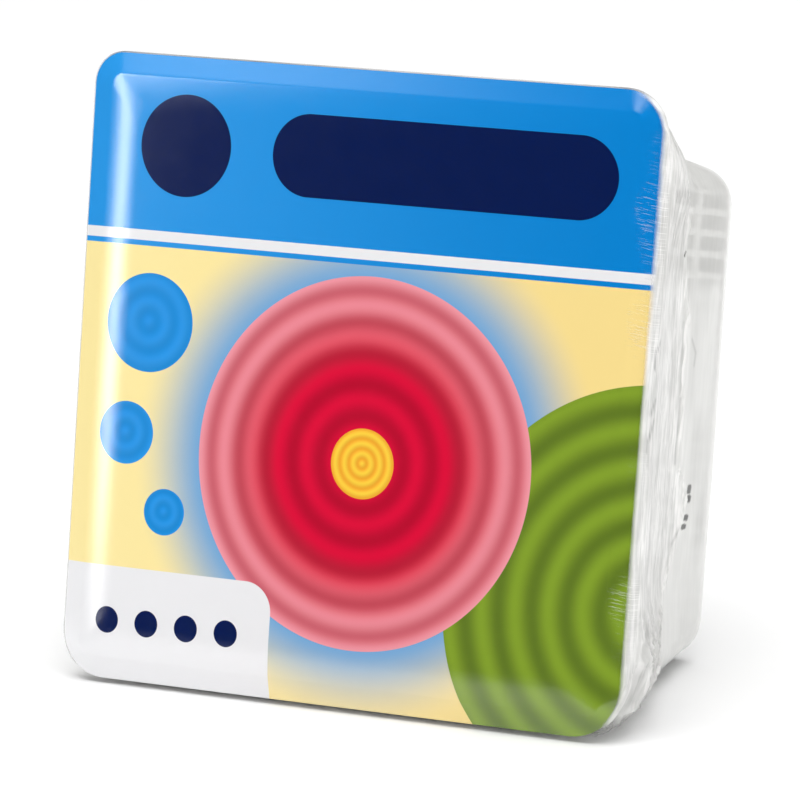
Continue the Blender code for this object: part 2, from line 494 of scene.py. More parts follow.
@dataclass(frozen=True)
class PrintedCard:
    """Coated board with a plain print: a header, round ring marks and rounded plates."""

    groups: Groups
    span_mm: float
    header_from: float = 42.0
    stripe: float = 1.6
    fade_half: float = 95.0
    bloom: RingMark = RingMark((6.0, -22.0), 56.0, 9.4, Ink.CRIMSON_DEEP, Ink.CRIMSON)
    core: RingMark = RingMark((6.0, -22.0), 10.5, 3.0, Ink.ORANGE, Ink.YELLOW)
    pad: RingMark = RingMark((104.0, -58.0), 68.0, 11.0, Ink.LEAF_DEEP, Ink.LEAF)
    drops: tuple[RingMark, ...] = (
        RingMark((-70.0, 14.0), 15.0, 6.0, Ink.SKY_DEEP, Ink.SKY),
        RingMark((-76.0, -20.0), 9.5, 5.0, Ink.SKY_DEEP, Ink.SKY),
        RingMark((-61.0, -43.0), 7.0, 4.0, Ink.SKY_DEEP, Ink.SKY),
    )
    plates: tuple[PlateMark, ...] = (
        PlateMark((26.0, 68.5), (57.0, 12.5), 12.5, Ink.NAVY),
        PlateMark((-61.0, 68.5), (15.5, 15.5), 15.5, Ink.NAVY),
        PlateMark((-76.0, -90.0), (54.0, 29.0), 9.0, Ink.PANEL),
        *(PlateMark((across, -77.5), (4.0, 4.0), 4.0, Ink.NAVY) for across in (-79.0, -65.0, -51.0, -37.0)),
    )
    grain_scale: float = 380.0
    roughness: float = 0.11
    swing: float = 0.05
    coat_index: float = 1.7
    bump: tuple[float, float] = (0.4, 0.00005)

    def material(self) -> Material:
        """Build the finish.

        Returns:
            The material.
        """
        material, graph, shader = new_material("printed_card")
        uv = graph.add("ShaderNodeUVMap", uv_map="flat").outputs[0]
        centred = graph.vector("SUBTRACT", uv, (0.5, 0.5, 0.0))
        place = graph.vector("MULTIPLY", centred, (self.span_mm, self.span_mm, 0.0))
        colour = self.paint_field(graph, place)
        for paint in (self.paint_rings, self.paint_header, self.paint_plates):
            colour = paint(graph, place, colour)
        grain = graph.call(self.groups.grain, Place=uv, Scale=self.grain_scale, Middle=self.roughness,
                           Swing=self.swing)
        graph.dress(shader, colour, grain["Roughness"], grain["Height"], *self.bump)
        shader.inputs["IOR"].default_value = self.coat_index
        return material

    def faded(self, graph: Graph, across: Any, left: Ink, right: Ink) -> Socket:
        """A ground that fades from one ink to another across the card."""
        return graph.blend(graph.ramp(across, -self.fade_half, self.fade_half), left.colour, right.colour)

    def paint_field(self, graph: Graph, place: Any) -> Socket:
        """The cream ground, with a soft blue glow round the large mark.

        Args:
            graph: The tree to write to.
            place: Places on the card, in millimetres.

        Returns:
            The ground's colour.
        """
        ground = self.faded(graph, graph.split(place)[0], Ink.CREAM, Ink.CREAM_DEEP)
        glow = graph.call(self.groups.rings, Place=place, Centre=(*self.bloom.centre, 0.0),
                          Radius=self.bloom.radius)
        return graph.blend(graph.ramp(glow["Share"], 1.42, 0.95, 0.0, 0.95), ground, Ink.GLOW.colour)

    @staticmethod
    def ring_colour(graph: Graph, mark: RingMark, rings: Any) -> Socket:
        """The two inks of a ring mark, blended by its waves and lit along them.

        Args:
            graph: The tree to write to.
            mark: The mark.
            rings: The outputs of its group.

        Returns:
            The mark's colour.
        """
        wave = graph.times(rings["Wave"], 0.55, 0.40)
        base = graph.blend(wave, mark.low.colour, mark.high.colour)
        relief = graph.ramp(rings["Relief"], -1.0, 1.0, 0.93, 1.06, "LINEAR")
        return graph.vector("SCALE", base, Scale=relief)

    def paint_rings(self, graph: Graph, place: Any, colour: Any) -> Socket:
        """Every round mark, from the lowest to the topmost.

        Args:
            graph: The tree to write to.
            place: Places on the card, in millimetres.
            colour: What is painted so far.

        Returns:
            The colour with the marks on it.
        """
        for mark in (self.pad, *self.drops, self.bloom, self.core):
            rings = graph.call(self.groups.rings, Place=place, Centre=(*mark.centre, 0.0),
                               Radius=mark.radius, Pitch=mark.pitch)
            ink = self.ring_colour(graph, mark, rings)
            if mark is self.bloom:
                paling = graph.ramp(rings["Share"], 0.50, 1.0, 0.0, 0.75)
                swell = graph.times(rings["Wave"], 0.6, 0.4)
                ink = graph.blend(graph.times(paling, swell), ink, Ink.PINK.colour)
            colour = graph.blend(rings["Mask"], colour, ink)
        return colour

    def paint_header(self, graph: Graph, place: Any, colour: Any) -> Socket:
        """The blue header, over a white and a blue stripe.

        Args:
            graph: The tree to write to.
            place: Places on the card, in millimetres.
            colour: What is painted so far.

        Returns:
            The colour with the header on it.
        """
        across, up, _ = graph.split(place)
        sky = self.faded(graph, across, Ink.SKY, Ink.SKY_DEEP)
        for stripes, ink in ((3.0, sky), (2.0, Ink.PANEL.colour), (0.0, sky)):
            start = self.header_from - stripes * self.stripe
            colour = graph.blend(graph.ramp(up, start, start + MARK_EDGE), colour, ink)
        return colour

    def paint_plates(self, graph: Graph, place: Any, colour: Any) -> Socket:
        """The bare plates, and a row of plain dots on the pale one.

        Args:
            graph: The tree to write to.
            place: Places on the card, in millimetres.
            colour: What is painted so far.

        Returns:
            The colour with the plates on it.
        """
        for mark in self.plates:
            plate = graph.call(self.groups.plate, Place=place, Centre=(*mark.centre, 0.0),
                               Half=(*mark.half, 0.0), Round=mark.rounding)
            colour = graph.blend(plate["Mask"], colour, mark.ink.colour)
        return colour


@dataclass(frozen=True)
class ClearFilm:
    """Clear shrink film: nearly unseen where it is tight, milky and bright where it is folded."""

    groups: Groups
    streak: tuple[float, float] = (60.0, 500.0)
    wrinkle: tuple[float, float] = (34.0, 560.0)
    slant: float = 0.16
    dull: Colour = linear("efefec")
    bright: Colour = linear("fbfaf8")
    shade: Colour = linear("4a4a48")
    # Colour of the painted shade along the film's creases and of the painted shadow in the slit-shaped
    # spots by the seam.
    grain_scale: float = 600.0
    roughness: float = 0.34
    swing: float = 0.10
    film_index: float = 1.7
    bump: tuple[float, float] = (0.17, 0.0003)

    @staticmethod
    def stretched(graph: Graph, uv: Any, cells: tuple[float, float]) -> Socket:
        """Read noise that is drawn out along one way of a map."""
        return graph.noise(graph.vector("MULTIPLY", uv, (*cells, 1.0)), 1.0, 3.0, 0.55, "2D")

    def material(self) -> Material:
        """Build the finish.

        Returns:
            The material.
        """
        material, graph, shader = new_material("clear_film")
        veil, pucker, painted_shade, loose = (graph.add("ShaderNodeAttribute", attribute_name=name).outputs["Fac"]
                                    for name in FILM_LAYERS)
        wrap, flat = (graph.add("ShaderNodeUVMap", uv_map=name).outputs[0] for name in ("wrap", "flat"))
        across, up, _ = graph.split(flat)
        streak = self.stretched(graph, wrap, self.streak)
        slanted = graph.join(across, graph.times(across, self.slant, up))
        wrinkle = self.stretched(graph, slanted, self.wrinkle)
        lines = graph.times(graph.ramp(streak, 0.38, 0.64), graph.ramp(loose, 0.0, 1.0, 0.16, 1.0))
        # Fine wrinkles: their lines are bumped, and are also whitened through the alpha as painted glints.
        fine = graph.times(graph.ramp(wrinkle, 0.56, 0.63), pucker)
        milky = graph.times(veil, graph.times(lines, 0.13, 0.915))
        # Where the marks lie, the film darkens towards the shade colour: painted shade along creases,
        # painted shadow in slit-shaped spots by the seam.
        tint = graph.blend(painted_shade, graph.blend(lines, self.dull, self.bright), self.shade)
        grain = graph.call(self.groups.grain, Place=wrap, Scale=self.grain_scale, Middle=self.roughness,
                           Swing=self.swing)
        height = graph.plus(graph.times(streak, loose), graph.times(wrinkle, pucker))
        graph.dress(shader, tint, grain["Roughness"], height, *self.bump)
        # Alpha: the folded film's milkiness, plus the painted glints of the fine wrinkles.
        graph.feed(shader.inputs["Alpha"], graph.math("MULTIPLY_ADD", fine, 0.24, milky, clamp=True))
        shader.inputs["IOR"].default_value = self.film_index
        return material


@dataclass(frozen=True)
class Lay:
    lean: float
    shift: Vector

    @classmethod
    def from_frame(cls, sizes: KitSizes) -> Lay:
        lean = math.atan2(sizes.film_lip_half - sizes.film_end_half,
                          sizes.film_end_depth - sizes.film_lip_depth)
        low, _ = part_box("label_card")
        drop = sizes.border_drop
        half = sizes.card_half
        lowest = -(drop + sizes.card_thickness) * math.sin(lean) - half * math.cos(lean)
        nearest = drop * math.cos(lean) - half * math.sin(lean)
        return cls(lean, Vector((0.0, low[1] - nearest, low[2] - lowest)))

    @property
    def matrix(self) -> Matrix:
        return Matrix.Translation(self.shift) @ Matrix.Rotation(-self.lean, 4, "X")


@dataclass(frozen=True)
class Racking:
    """A small skew of the whole kit, as a tight film draws a thin basket out of square.

    Each entry holds how far a corner moves across and up, in millimetres: upper left, upper right,
    lower left and lower right. The mouth's lower corners stay on the ground.
    """

    mouth: tuple[tuple[float, float], ...] = ((-2.8, 1.2), (-0.4, -0.9), (2.5, 0.0), (1.0, 0.0))
    base: tuple[tuple[float, float], ...] = ((0.0, -0.2), (-0.2, -0.4), (0.0, 0.0), (1.8, 1.4))
    half: float = 0.0956
    depth: float = 0.0996

    def shape(self, points: Array) -> Array:
        """Args:
            points: One row for each point.

        Returns:
            The moved points.
        """
        right = (points[:, 0] / self.half + 1.0) / 2.0
        up = (points[:, 2] / self.half + 1.0) / 2.0
        back = np.clip(points[:, 1] / self.depth, 0.0, 1.0)
        shares = np.stack(((1.0 - right) * up, right * up, (1.0 - right) * (1.0 - up), right * (1.0 - up)))
        mouth = np.array(self.mouth).T @ shares
        base = np.array(self.base).T @ shares
        moved = (mouth * (1.0 - back) + base * back) * MM
        return points + np.stack((moved[0], moved[0] * 0.0, moved[1]), axis=1)


@dataclass(frozen=True)
class KitSizes:
    """Driving sizes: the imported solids' own, apart from card_corners and bend_half."""

    rim_half: float = 0.0950
    rim_radius: float = 0.0220
    basket_depth: float = 0.0996
    wall: float = 0.0015
    body_at_rim: float = 0.0836
    body_at_base: float = 0.0763
    body_radius: float = 0.0120
    base_edge: float = 0.0030
    flange_front: float = 0.0008
    flange_bend: float = 0.0870
    flange_slope: float = 0.35
    lip_end: float = 0.0085
    card_half: float = 0.0956
    card_radius: float = 0.0146
    card_corners: tuple[float, float, float, float] = (0.92, 0.66, 0.98, 1.15)
    card_thickness: float = 0.00045
    crease_half: float = 0.0875
    bend_half: float = 0.0890
    crease_radius: float = 0.0040
    film_skin: float = 0.0005
    film_meets_wall: float = 0.0580
    film_sag: float = 0.0012

    @property
    def border_drop(self) -> float:
        """How far the card's border lies behind its face."""
        return self.flange_slope * (self.card_half - self.crease_half)

    @property
    def film_lip_half(self) -> float:
        """Half the film's width at the lip."""
        return self.card_half + self.film_skin

    @property
    def film_lip_depth(self) -> float:
        """Depth at which the film leaves the lip."""
        return self.lip_end + self.film_skin

    @property
    def film_end_depth(self) -> float:
        """Depth at which the film turns round the base's edge."""
        return self.basket_depth - self.base_edge

    @property
    def film_end_half(self) -> float:
        """Half the film's width at the base's edge."""
        return self.body(self.film_end_depth) + self.film_skin

    def body(self, depth: float) -> float:
        """Half the basket's width at a depth behind the card."""
        return self.body_at_rim + (self.body_at_base - self.body_at_rim) * depth / self.basket_depth


def mesh_points(mesh: Mesh) -> Array:
    """The mesh's points, one row each.

    Args:
        mesh: The mesh.

    Returns:
        An array of three columns.
    """
    places = np.empty(len(mesh.vertices) * 3, dtype=np.float32)
    mesh.vertices.foreach_get("co", places)
    return places.reshape(-1, 3).astype(float)


def move_points(mesh: Mesh, points: Array) -> None:
    """Put the mesh's points at new places."""
    mesh.vertices.foreach_set("co", points.astype(np.float32).ravel())
    mesh.update()


def linked(name: str, data: Any) -> Piece:
    """Put a new object with this data into the scene.

    Args:
        name: The object's name.
        data: Its mesh, light or camera.

    Returns:
        The linked object.
    """
    piece = bpy.data.objects.new(name, data)
    bpy.context.collection.objects.link(piece)
    return piece


def finish_object(name: str, mesh: Mesh, lay: Lay, material: Material, sharp: float) -> Piece:
    """Args:
        name: The piece's name.
        material: Its finish.
        sharp: Angle in degrees past which an edge stays sharp.

    Returns:
        The linked object.
    """
    mesh.name = name
    move_points(mesh, Racking().shape(mesh_points(mesh)))
    mesh.transform(lay.matrix)
    mesh.shade_smooth()
    mesh.set_sharp_from_angle(angle=math.radians(sharp))
    mesh.materials.clear()
    mesh.materials.append(material)
    return linked(name, mesh)


def evaluated_mesh(piece: Piece) -> Mesh:
    """Return the piece's mesh with its modifiers run, and remove the piece.

    Args:
        piece: A working object.

    Returns:
        Its mesh, with the modifiers applied.
    """
    graph = bpy.context.evaluated_depsgraph_get()
    mesh = bpy.data.meshes.new_from_object(piece.evaluated_get(graph))
    bpy.data.objects.remove(piece, do_unlink=True)
    return mesh


@dataclass(frozen=True)
class Strip:
    """A row of openings, as sockets: how many, their pitch, their width and the plain steps after."""

    count: Any
    pitch: Any
    width: Any
    steps: Any

    def points(self, graph: Graph) -> Socket:
        """Count the grid points that the strip needs, its plain steps at both ends included."""
        return graph.times(self.steps, 2.0, graph.times(self.count, 2.0))

    def middle(self, graph: Graph) -> Socket:
        """Number of the middle opening, counted from zero."""
        return graph.times(graph.minus(self.count, 1.0), 0.5)

    def last(self, graph: Graph) -> Socket:
        """How far from the middle the last opening ends."""
        return graph.times(self.middle(graph), self.pitch, graph.times(self.width, 0.5))

    def place(self, graph: Graph, number: Any, end: Any) -> Socket:
        """Place a point on an opening's edge, or between the last opening and the strip's end.

        Args:
            graph: The tree to write to.
            number: The point's number, counted from the middle.
            end: How far from the middle the strip ends.

        Returns:
            The point's place along the strip.
        """
        last_edge = graph.minus(self.count, 0.5)
        edge = graph.plus(number, last_edge)
        opening = graph.math("FLOOR", graph.times(graph.plus(edge, 0.01), 0.5))
        far_side = graph.minus(edge, graph.times(opening, 2.0, 0.5))
        centre = graph.times(graph.minus(opening, self.middle(graph)), self.pitch)
        last = self.last(graph)
        beyond = graph.minus(graph.math("ABSOLUTE", number), last_edge)
        reach = graph.times(graph.minus(end, last), graph.math("DIVIDE", beyond, self.steps), last)
        return graph.add("GeometryNodeSwitch", input_type="FLOAT", named={
            "Switch": graph.math("GREATER_THAN", beyond, 0.25),
            "False": graph.times(far_side, self.width, centre),
            "True": graph.times(reach, graph.math("SIGN", number))}).outputs[0]

    def opening(self, graph: Graph, number: Any) -> Socket:
        """Give one where a face's middle lies on an opening of the strip, and else zero.

        Args:
            graph: The tree to write to.
            number: Numbers of the faces' middles, counted from the strip's middle.

        Returns:
            The result.
        """
        inner = graph.math("LESS_THAN", graph.math("ABSOLUTE", number), self.count)
        turn = graph.math("MODULO", graph.plus(number, self.count), 2.0)
        return graph.times(inner, graph.math("COMPARE", turn, 1.0, 0.25))


def grid_numbers(graph: Graph, columns: Any, rows: Any) -> tuple[Socket, ...]:
    """Add a flat grid whose points are one unit apart.

    Args:
        graph: The tree to write to.
        columns: Points along X.
        rows: Points along Y.

    Returns:
        The mesh, and each place's number along X and along Y, counted from the middle.
    """
    grid = graph.add("GeometryNodeMeshGrid", graph.minus(columns, 1.0), graph.minus(rows, 1.0),
                     columns, rows)
    across, along, _ = graph.split(graph.add("GeometryNodeInputPosition").outputs[0])
    return grid.outputs["Mesh"], across, along


def opened_mesh(graph: Graph, mesh: Any, opened: Any, place: Any) -> Socket:
    """Delete a mesh's opened faces and move its points to their places.

    Args:
        graph: The tree to write to.
        mesh: The flat grid.
        opened: Over one half at the middle of each face to delete.
        place: Where each point goes.

    Returns:
        The shaped mesh.
    """
    left = graph.add("GeometryNodeDeleteGeometry", mesh, graph.math("GREATER_THAN", opened, 0.5),
                     domain="FACE", mode="ALL").outputs[0]
    return graph.add("GeometryNodeSetPosition", named={"Geometry": left, "Position": place}).outputs[0]


def lattice_tree(inputs: dict[str, Any]) -> Tree:
    """Build the tree that wraps a profile round the basket and opens its slots.

    Each point of the incoming profile is one row: X holds half the width, Y the depth and Z the
    corner radius. The attribute open_row marks the rows after which a slot runs on to the next.

    Args:
        inputs: The named inputs and their defaults.

    Returns:
        The geometry node tree.
    """
    tree = bpy.data.node_groups.new("lattice_walls", "GeometryNodeTree")
    tree.interface.new_socket(name="Profile", in_out="INPUT", socket_type="NodeSocketGeometry")
    open_inputs(tree, inputs)
    tree.interface.new_socket(name="Material", in_out="INPUT", socket_type="NodeSocketMaterial")
    tree.interface.new_socket(name="Lattice", in_out="OUTPUT", socket_type="NodeSocketGeometry")
    graph = Graph(tree)
    given = graph.add("NodeGroupInput").outputs
    parts = graph.add("GeometryNodeJoinGeometry")
    graph.feed(parts.inputs[0], four_walls(graph, lattice_wall(graph, given)))
    graph.feed(parts.inputs[0], slotted_base(graph, given))
    weld = graph.add("GeometryNodeMergeByDistance", named={"Geometry": parts.outputs[0], "Distance": WELD})
    real = graph.add("GeometryNodeRealizeInstances", weld.outputs[0])
    dressed = graph.add("GeometryNodeSetMaterial", named={
        "Geometry": real.outputs[0], "Material": given["Material"]})
    graph.add("NodeGroupOutput", dressed.outputs[0])
    return tree


def lattice_wall(graph: Graph, given: Any) -> Socket:
    """Shape the upper wall: a grid bent along the profile, with its slots opened.

    Args:
        graph: The tree to write to.
        given: The tree's inputs.

    Returns:
        The wall's mesh.
    """
    size = graph.add("GeometryNodeAttributeDomainSize", given["Profile"], component="MESH")
    rows = size.outputs["Point Count"]
    strip = Strip(given["Slots"], given["Slot Pitch"], given["Slot Width"], given["Corner Steps"])
    mesh, across, along = grid_numbers(graph, strip.points(graph), rows)
    row = graph.plus(along, graph.times(graph.minus(rows, 1.0), 0.5))
    spot = graph.add("GeometryNodeInputPosition").outputs[0]
    sizes = profile_value(graph, given, spot, graph.math("ROUND", row), "FLOAT_VECTOR")
    half, depth, radius = graph.split(sizes)
    side = strip.place(graph, across, graph.times(radius, math.sqrt(0.5) - 1.0, half))
    flat = graph.minus(half, radius)
    past = graph.math("MAXIMUM", graph.minus(graph.math("ABSOLUTE", side), flat), 0.0)
    squares = graph.minus(graph.math("POWER", radius, 2.0), graph.math("POWER", past, 2.0))
    flag = graph.add("GeometryNodeInputNamedAttribute", named={"Name": "open_row"}, data_type="FLOAT")
    runs_on = profile_value(graph, given, flag.outputs["Attribute"], graph.math("FLOOR", row), "FLOAT")
    opened = graph.times(strip.opening(graph, across), runs_on)
    outward = graph.plus(flat, graph.math("SQRT", squares))
    return opened_mesh(graph, mesh, opened, graph.join(side, depth, outward))


def profile_value(graph: Graph, given: Any, value: Any, index: Any, kind: str) -> Socket:
    """Read a value of the given kind at one point of the profile.

    Args:
        graph: The tree to write to.
        given: The tree's inputs.
        value: What is read.
        index: The point's number.
        kind: The value's data type.

    Returns:
        The value at that point.
    """
    return graph.add("GeometryNodeSampleIndex", data_type=kind, domain="POINT", named={
        "Geometry": given["Profile"], "Value": value, "Index": index}).outputs[0]


def slotted_base(graph: Graph, given: Any) -> Socket:
    """Shape the base's slotted middle, with one plain strip round its slots.

    Args:
        graph: The tree to write to.
        given: The tree's inputs.

    Returns:
        The mesh of the base's middle.
    """
    pitch = graph.plus(given["Base Length"], given["Base Band"])
    strips = (Strip(given["Base Slots"], given["Base Pitch"], given["Base Width"], 1.0),
              Strip(given["Base Rows"], pitch, given["Base Length"], 1.0))
    mesh, *numbers = grid_numbers(graph, *(strip.points(graph) for strip in strips))
    margin = graph.minus(given["Base Pitch"], given["Base Width"])
    across, along = (strip.place(graph, number, graph.plus(strip.last(graph), margin))
                     for strip, number in zip(strips, numbers))
    opened = graph.times(*(strip.opening(graph, number) for strip, number in zip(strips, numbers)))
    return opened_mesh(graph, mesh, opened, graph.join(across, given["Base Depth"], along))


def four_walls(graph: Graph, wall: Any) -> Socket:
    """Turn one wall onto all four sides.

    Args:
        graph: The tree to write to.
        wall: The upper wall's mesh.

    Returns:
        All four walls.
    """
    gather = graph.add("GeometryNodeJoinGeometry")
    for side in Wall:
        turned = graph.add("GeometryNodeTransform", named={
            "Geometry": wall, "Rotation": (0.0, math.radians(side.value), 0.0)})
        graph.feed(gather.inputs[0], turned.outputs[0])
    return gather.outputs[0]


@dataclass
class LatticeBasket:
    """The white moulded basket: lattice walls, slotted base, flange and lip."""

    sizes: KitSizes
    lay: Lay
    slots: int = 21
    slot_pitch: float = 0.0066
    slot_width: float = 0.0043
    slot_length: float = 0.0235
    slot_band: float = 0.0035
    slot_rows: int = 3
    last_slot_end: float = 0.0963
    corner_steps: int = 6
    edge_steps: int = 4
    base_slots: int = 13
    base_pitch: float = 0.0090
    base_slot_width: float = 0.0055
    base_slot_length: float = 0.0340
    base_band: float = 0.0090
    bevel: float = 0.00028
    bevel_from: float = 40.0
    sharp_from: float = 38.0

    def profile(self) -> list[tuple[float, float, float, float]]:
        """Rows of half width, depth, corner radius and whether a slot starts there.

        Returns:
            One entry for each row, from the lip to the base.
        """
        sizes = self.sizes
        inner_lip = sizes.rim_half - sizes.wall
        slope_end = sizes.flange_front + sizes.wall + sizes.flange_slope * (inner_lip - sizes.flange_bend)
        under = sizes.flange_front + sizes.wall
        rows = [
            (inner_lip, sizes.lip_end, sizes.rim_radius - sizes.wall, 0.0),
            (inner_lip, slope_end, sizes.rim_radius - sizes.wall, 0.0),
            (sizes.flange_bend, under, sizes.body_radius + sizes.wall, 0.0),
            (sizes.body(under), under, sizes.body_radius, 0.0),
        ]
        for row in range(self.slot_rows - 1, -1, -1):
            end = self.last_slot_end - row * (self.slot_length + self.slot_band)
            start = end - self.slot_length
            rows.append((sizes.body(start), start, sizes.body_radius, 1.0))
            rows.append((sizes.body(end), end, sizes.body_radius, 0.0))
        turn = sizes.basket_depth - sizes.base_edge
        half = sizes.body(turn)
        for step in range(self.edge_steps + 1):
            angle = math.radians(90.0 * step / self.edge_steps)
            drawn = sizes.base_edge * (1.0 - math.cos(angle))
            depth = turn + sizes.base_edge * math.sin(angle)
            rows.append((half - drawn, depth, sizes.body_radius - drawn, 0.0))
        return rows

    def inputs(self) -> dict[str, Any]:
        """The lattice tree's inputs, by their names.

        Returns:
            The values, by the names of their sockets.
        """
        return {"Slots": self.slots, "Slot Pitch": self.slot_pitch, "Slot Width": self.slot_width,
                "Corner Steps": self.corner_steps, "Base Slots": self.base_slots,
                "Base Pitch": self.base_pitch, "Base Width": self.base_slot_width,
                "Base Rows": self.slot_rows, "Base Length": self.base_slot_length,
                "Base Band": self.base_band, "Base Depth": self.sizes.basket_depth}

    def lattice_mesh(self, material: Material) -> Mesh:
        """Run the lattice tree over the profile.

        Args:
            material: The piece's finish.

        Returns:
            The basket as a thin sheet.
        """
        rows = self.profile()
        mesh = bpy.data.meshes.new("lattice_profile")
        mesh.from_pydata([row[:3] for row in rows], [(at, at + 1) for at in range(len(rows) - 1)], [])
        flag = mesh.attributes.new("open_row", "FLOAT", "POINT")
        flag.data.foreach_set("value", [row[3] for row in rows])
        piece = linked("lattice_profile", mesh)
        modifier = piece.modifiers.new("lattice", "NODES")
        modifier.node_group = lattice_tree(self.inputs())
        values = {**self.inputs(), "Material": material}
        for item in modifier.node_group.interface.items_tree:
            if item.name in values:
                modifier[item.identifier] = values[item.name]
        return evaluated_mesh(piece)

    def close_base(self, mesh: bmesh.types.BMesh) -> None:
        """Fill the opening between the walls and the base's slotted middle.

        Args:
            mesh: The basket's sheet, changed in place.
        """
        reach = ((self.base_slots - 1) * self.base_pitch + self.base_slot_width) / 2.0
        rim = [edge for edge in mesh.edges if edge.is_boundary and all(
            abs(vert.co.y - self.sizes.basket_depth) < 1e-5
            and max(abs(vert.co.x), abs(vert.co.z)) > reach + 0.001 for vert in edge.verts)]
        bmesh.ops.triangle_fill(mesh, use_beauty=True, edges=rim)

    def build(self, material: Material) -> Piece:
        """Make the moulded basket and let it stand for its solid.

        Args:
            material: The piece's finish.

        Returns:
            The finished basket.
        """
        mesh = bmesh.new()
        mesh.from_mesh(self.lattice_mesh(material))
        self.close_base(mesh)
        bmesh.ops.recalc_face_normals(mesh, faces=mesh.faces)
        outer = max(mesh.faces, key=lambda face: face.calc_center_median().y)
        if outer.normal.y < 0.0:
            bmesh.ops.reverse_faces(mesh, faces=mesh.faces)
        data = bpy.data.meshes.new("basket_sheet")
        mesh.to_mesh(data)
        mesh.free()
        sheet = linked("basket_sheet", data)
        solid = sheet.modifiers.new("wall", "SOLIDIFY")
        solid.thickness = self.sizes.wall
        solid.offset = -1.0
        solid.use_even_offset = True
        bevel = sheet.modifiers.new("edges", "BEVEL")
        bevel.width = self.bevel
        bevel.segments = 2
        bevel.limit_method = "ANGLE"
        bevel.angle_limit = math.radians(self.bevel_from)
        piece = finish_object("basket_moulding", evaluated_mesh(sheet), self.lay, material,
                              self.sharp_from)
        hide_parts("basket")
        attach(piece, "root")
        return piece


@dataclass(frozen=True)
class LoopPlan:
    """Where the columns of a lofted piece stand round its rounded rectangle."""

    right: int
    upper: int
    left: int
    lower: int
    corner: int

    @property
    def count(self) -> int:
        """How many columns there are."""
        return self.right + self.upper + self.left + self.lower + 4 * self.corner

    def points(self, side: float, upper: float, lower: float, radius: float | Array) -> Array:
        """Points round one rounded rectangle, from the right side's foot up and round.

        Args:
            side: Half the width.
            upper: Height of the upper side over the middle.
            lower: Depth of the lower side under the middle.
            radius: The corner radius, or four: upper right, upper left, lower left, lower right.

        Returns:
            One row of across and up for each column.
        """
        first, second, third, fourth = np.broadcast_to(radius, 4)
        straights = (
            (self.right, (side, fourth - lower), (side, upper - first)),
            (self.upper, (side - first, upper), (second - side, upper)),
            (self.left, (-side, upper - second), (-side, third - lower)),
            (self.lower, (third - side, -lower), (side - fourth, -lower)),
        )
        centres = ((side - first, upper - first), (second - side, upper - second),
                   (third - side, third - lower), (side - fourth, fourth - lower))
        runs = []
        for number, (count, start, end) in enumerate(straights):
            share = np.linspace(0.0, 1.0, count, endpoint=False)[:, None]
            runs.append(np.array(start) * (1.0 - share) + np.array(end) * share)
            angle = np.radians(90.0 * number + 90.0 * np.linspace(0.0, 1.0, self.corner, endpoint=False))
            arc = np.stack((np.cos(angle), np.sin(angle)), axis=1)
            runs.append(np.array(centres[number]) + arc * (first, second, third, fourth)[number])
        return np.concatenate(runs)


@dataclass
class Loft:
    rows: list[Array] = field(default_factory=list)

    def add(self, loop: Array, depth: float | Array) -> None:
        """Add one row: a loop of across and up, at a depth."""
        depths = np.broadcast_to(np.asarray(depth, dtype=float), (len(loop),))
        self.rows.append(np.stack((loop[:, 0], depths, loop[:, 1]), axis=1))

    def grid(self) -> Array:
        """All rows as one array."""
        return np.stack(self.rows)

    @staticmethod
    def normals(grid: Array) -> Array:
        """Outward normals of a grid of rows whose columns close into a loop.

        Args:
            grid: Rows of points.

        Returns:
            One unit normal for each point.
        """
        along = np.roll(grid, -1, axis=1) - np.roll(grid, 1, axis=1)
        down = np.gradient(grid, axis=0)
        cross = np.cross(along, down)
        length = np.linalg.norm(cross, axis=2, keepdims=True)
        return cross / np.maximum(length, 1e-12)

    @staticmethod
    def mesh(name: str, grid: Array) -> Mesh:
        """Join the rows with quads and close both ends.

        Args:
            name: The mesh's name.
            grid: Rows of points.

        Returns:
            The closed mesh.
        """
        rows, columns, _ = grid.shape
        index = np.arange(rows * columns).reshape(rows, columns)
        turned = np.roll(index, -1, axis=1)
        quads = np.stack((index[:-1], turned[:-1], turned[1:], index[1:]), axis=2).reshape(-1, 4)
        faces = [tuple(reversed(quad)) for quad in quads.tolist()]
        faces.append(tuple(index[0].tolist()))
        faces.append(tuple(reversed(index[-1].tolist())))
        mesh = bpy.data.meshes.new(name)
        mesh.from_pydata(grid.reshape(-1, 3).tolist(), [], faces)
        work = bmesh.new()
        work.from_mesh(mesh)
        bmesh.ops.recalc_face_normals(work, faces=work.faces)
        work.to_mesh(mesh)
        work.free()
        return mesh


def write_uv(mesh: Mesh, name: str, values: Array, turn: float = 0.0) -> None:
    """Write one UV pair for each vertex onto the mesh's corners.

    Args:
        mesh: The mesh that gets the map.
        name: The map's name.
        values: One pair for each vertex.
        turn: Length of a full turn in U, for a map that closes on itself, or zero.
    """
    layer = mesh.uv_layers.new(name=name)
    count = len(mesh.loops)
    corners = np.empty(count, dtype=np.int32)
    mesh.loops.foreach_get("vertex_index", corners)
    uv = values[corners].astype(np.float32)
    if turn:
        sizes = np.empty(len(mesh.polygons), dtype=np.int32)
        mesh.polygons.foreach_get("loop_total", sizes)
        starts = np.concatenate(([0], np.cumsum(sizes)[:-1]))
        highest = np.maximum.reduceat(uv[:, 0], starts)
        lagging = uv[:, 0] < np.repeat(highest, sizes) - turn / 2.0
        uv[lagging & (np.repeat(sizes, sizes) == 4), 0] += turn
    layer.data.foreach_set("uv", uv.ravel())


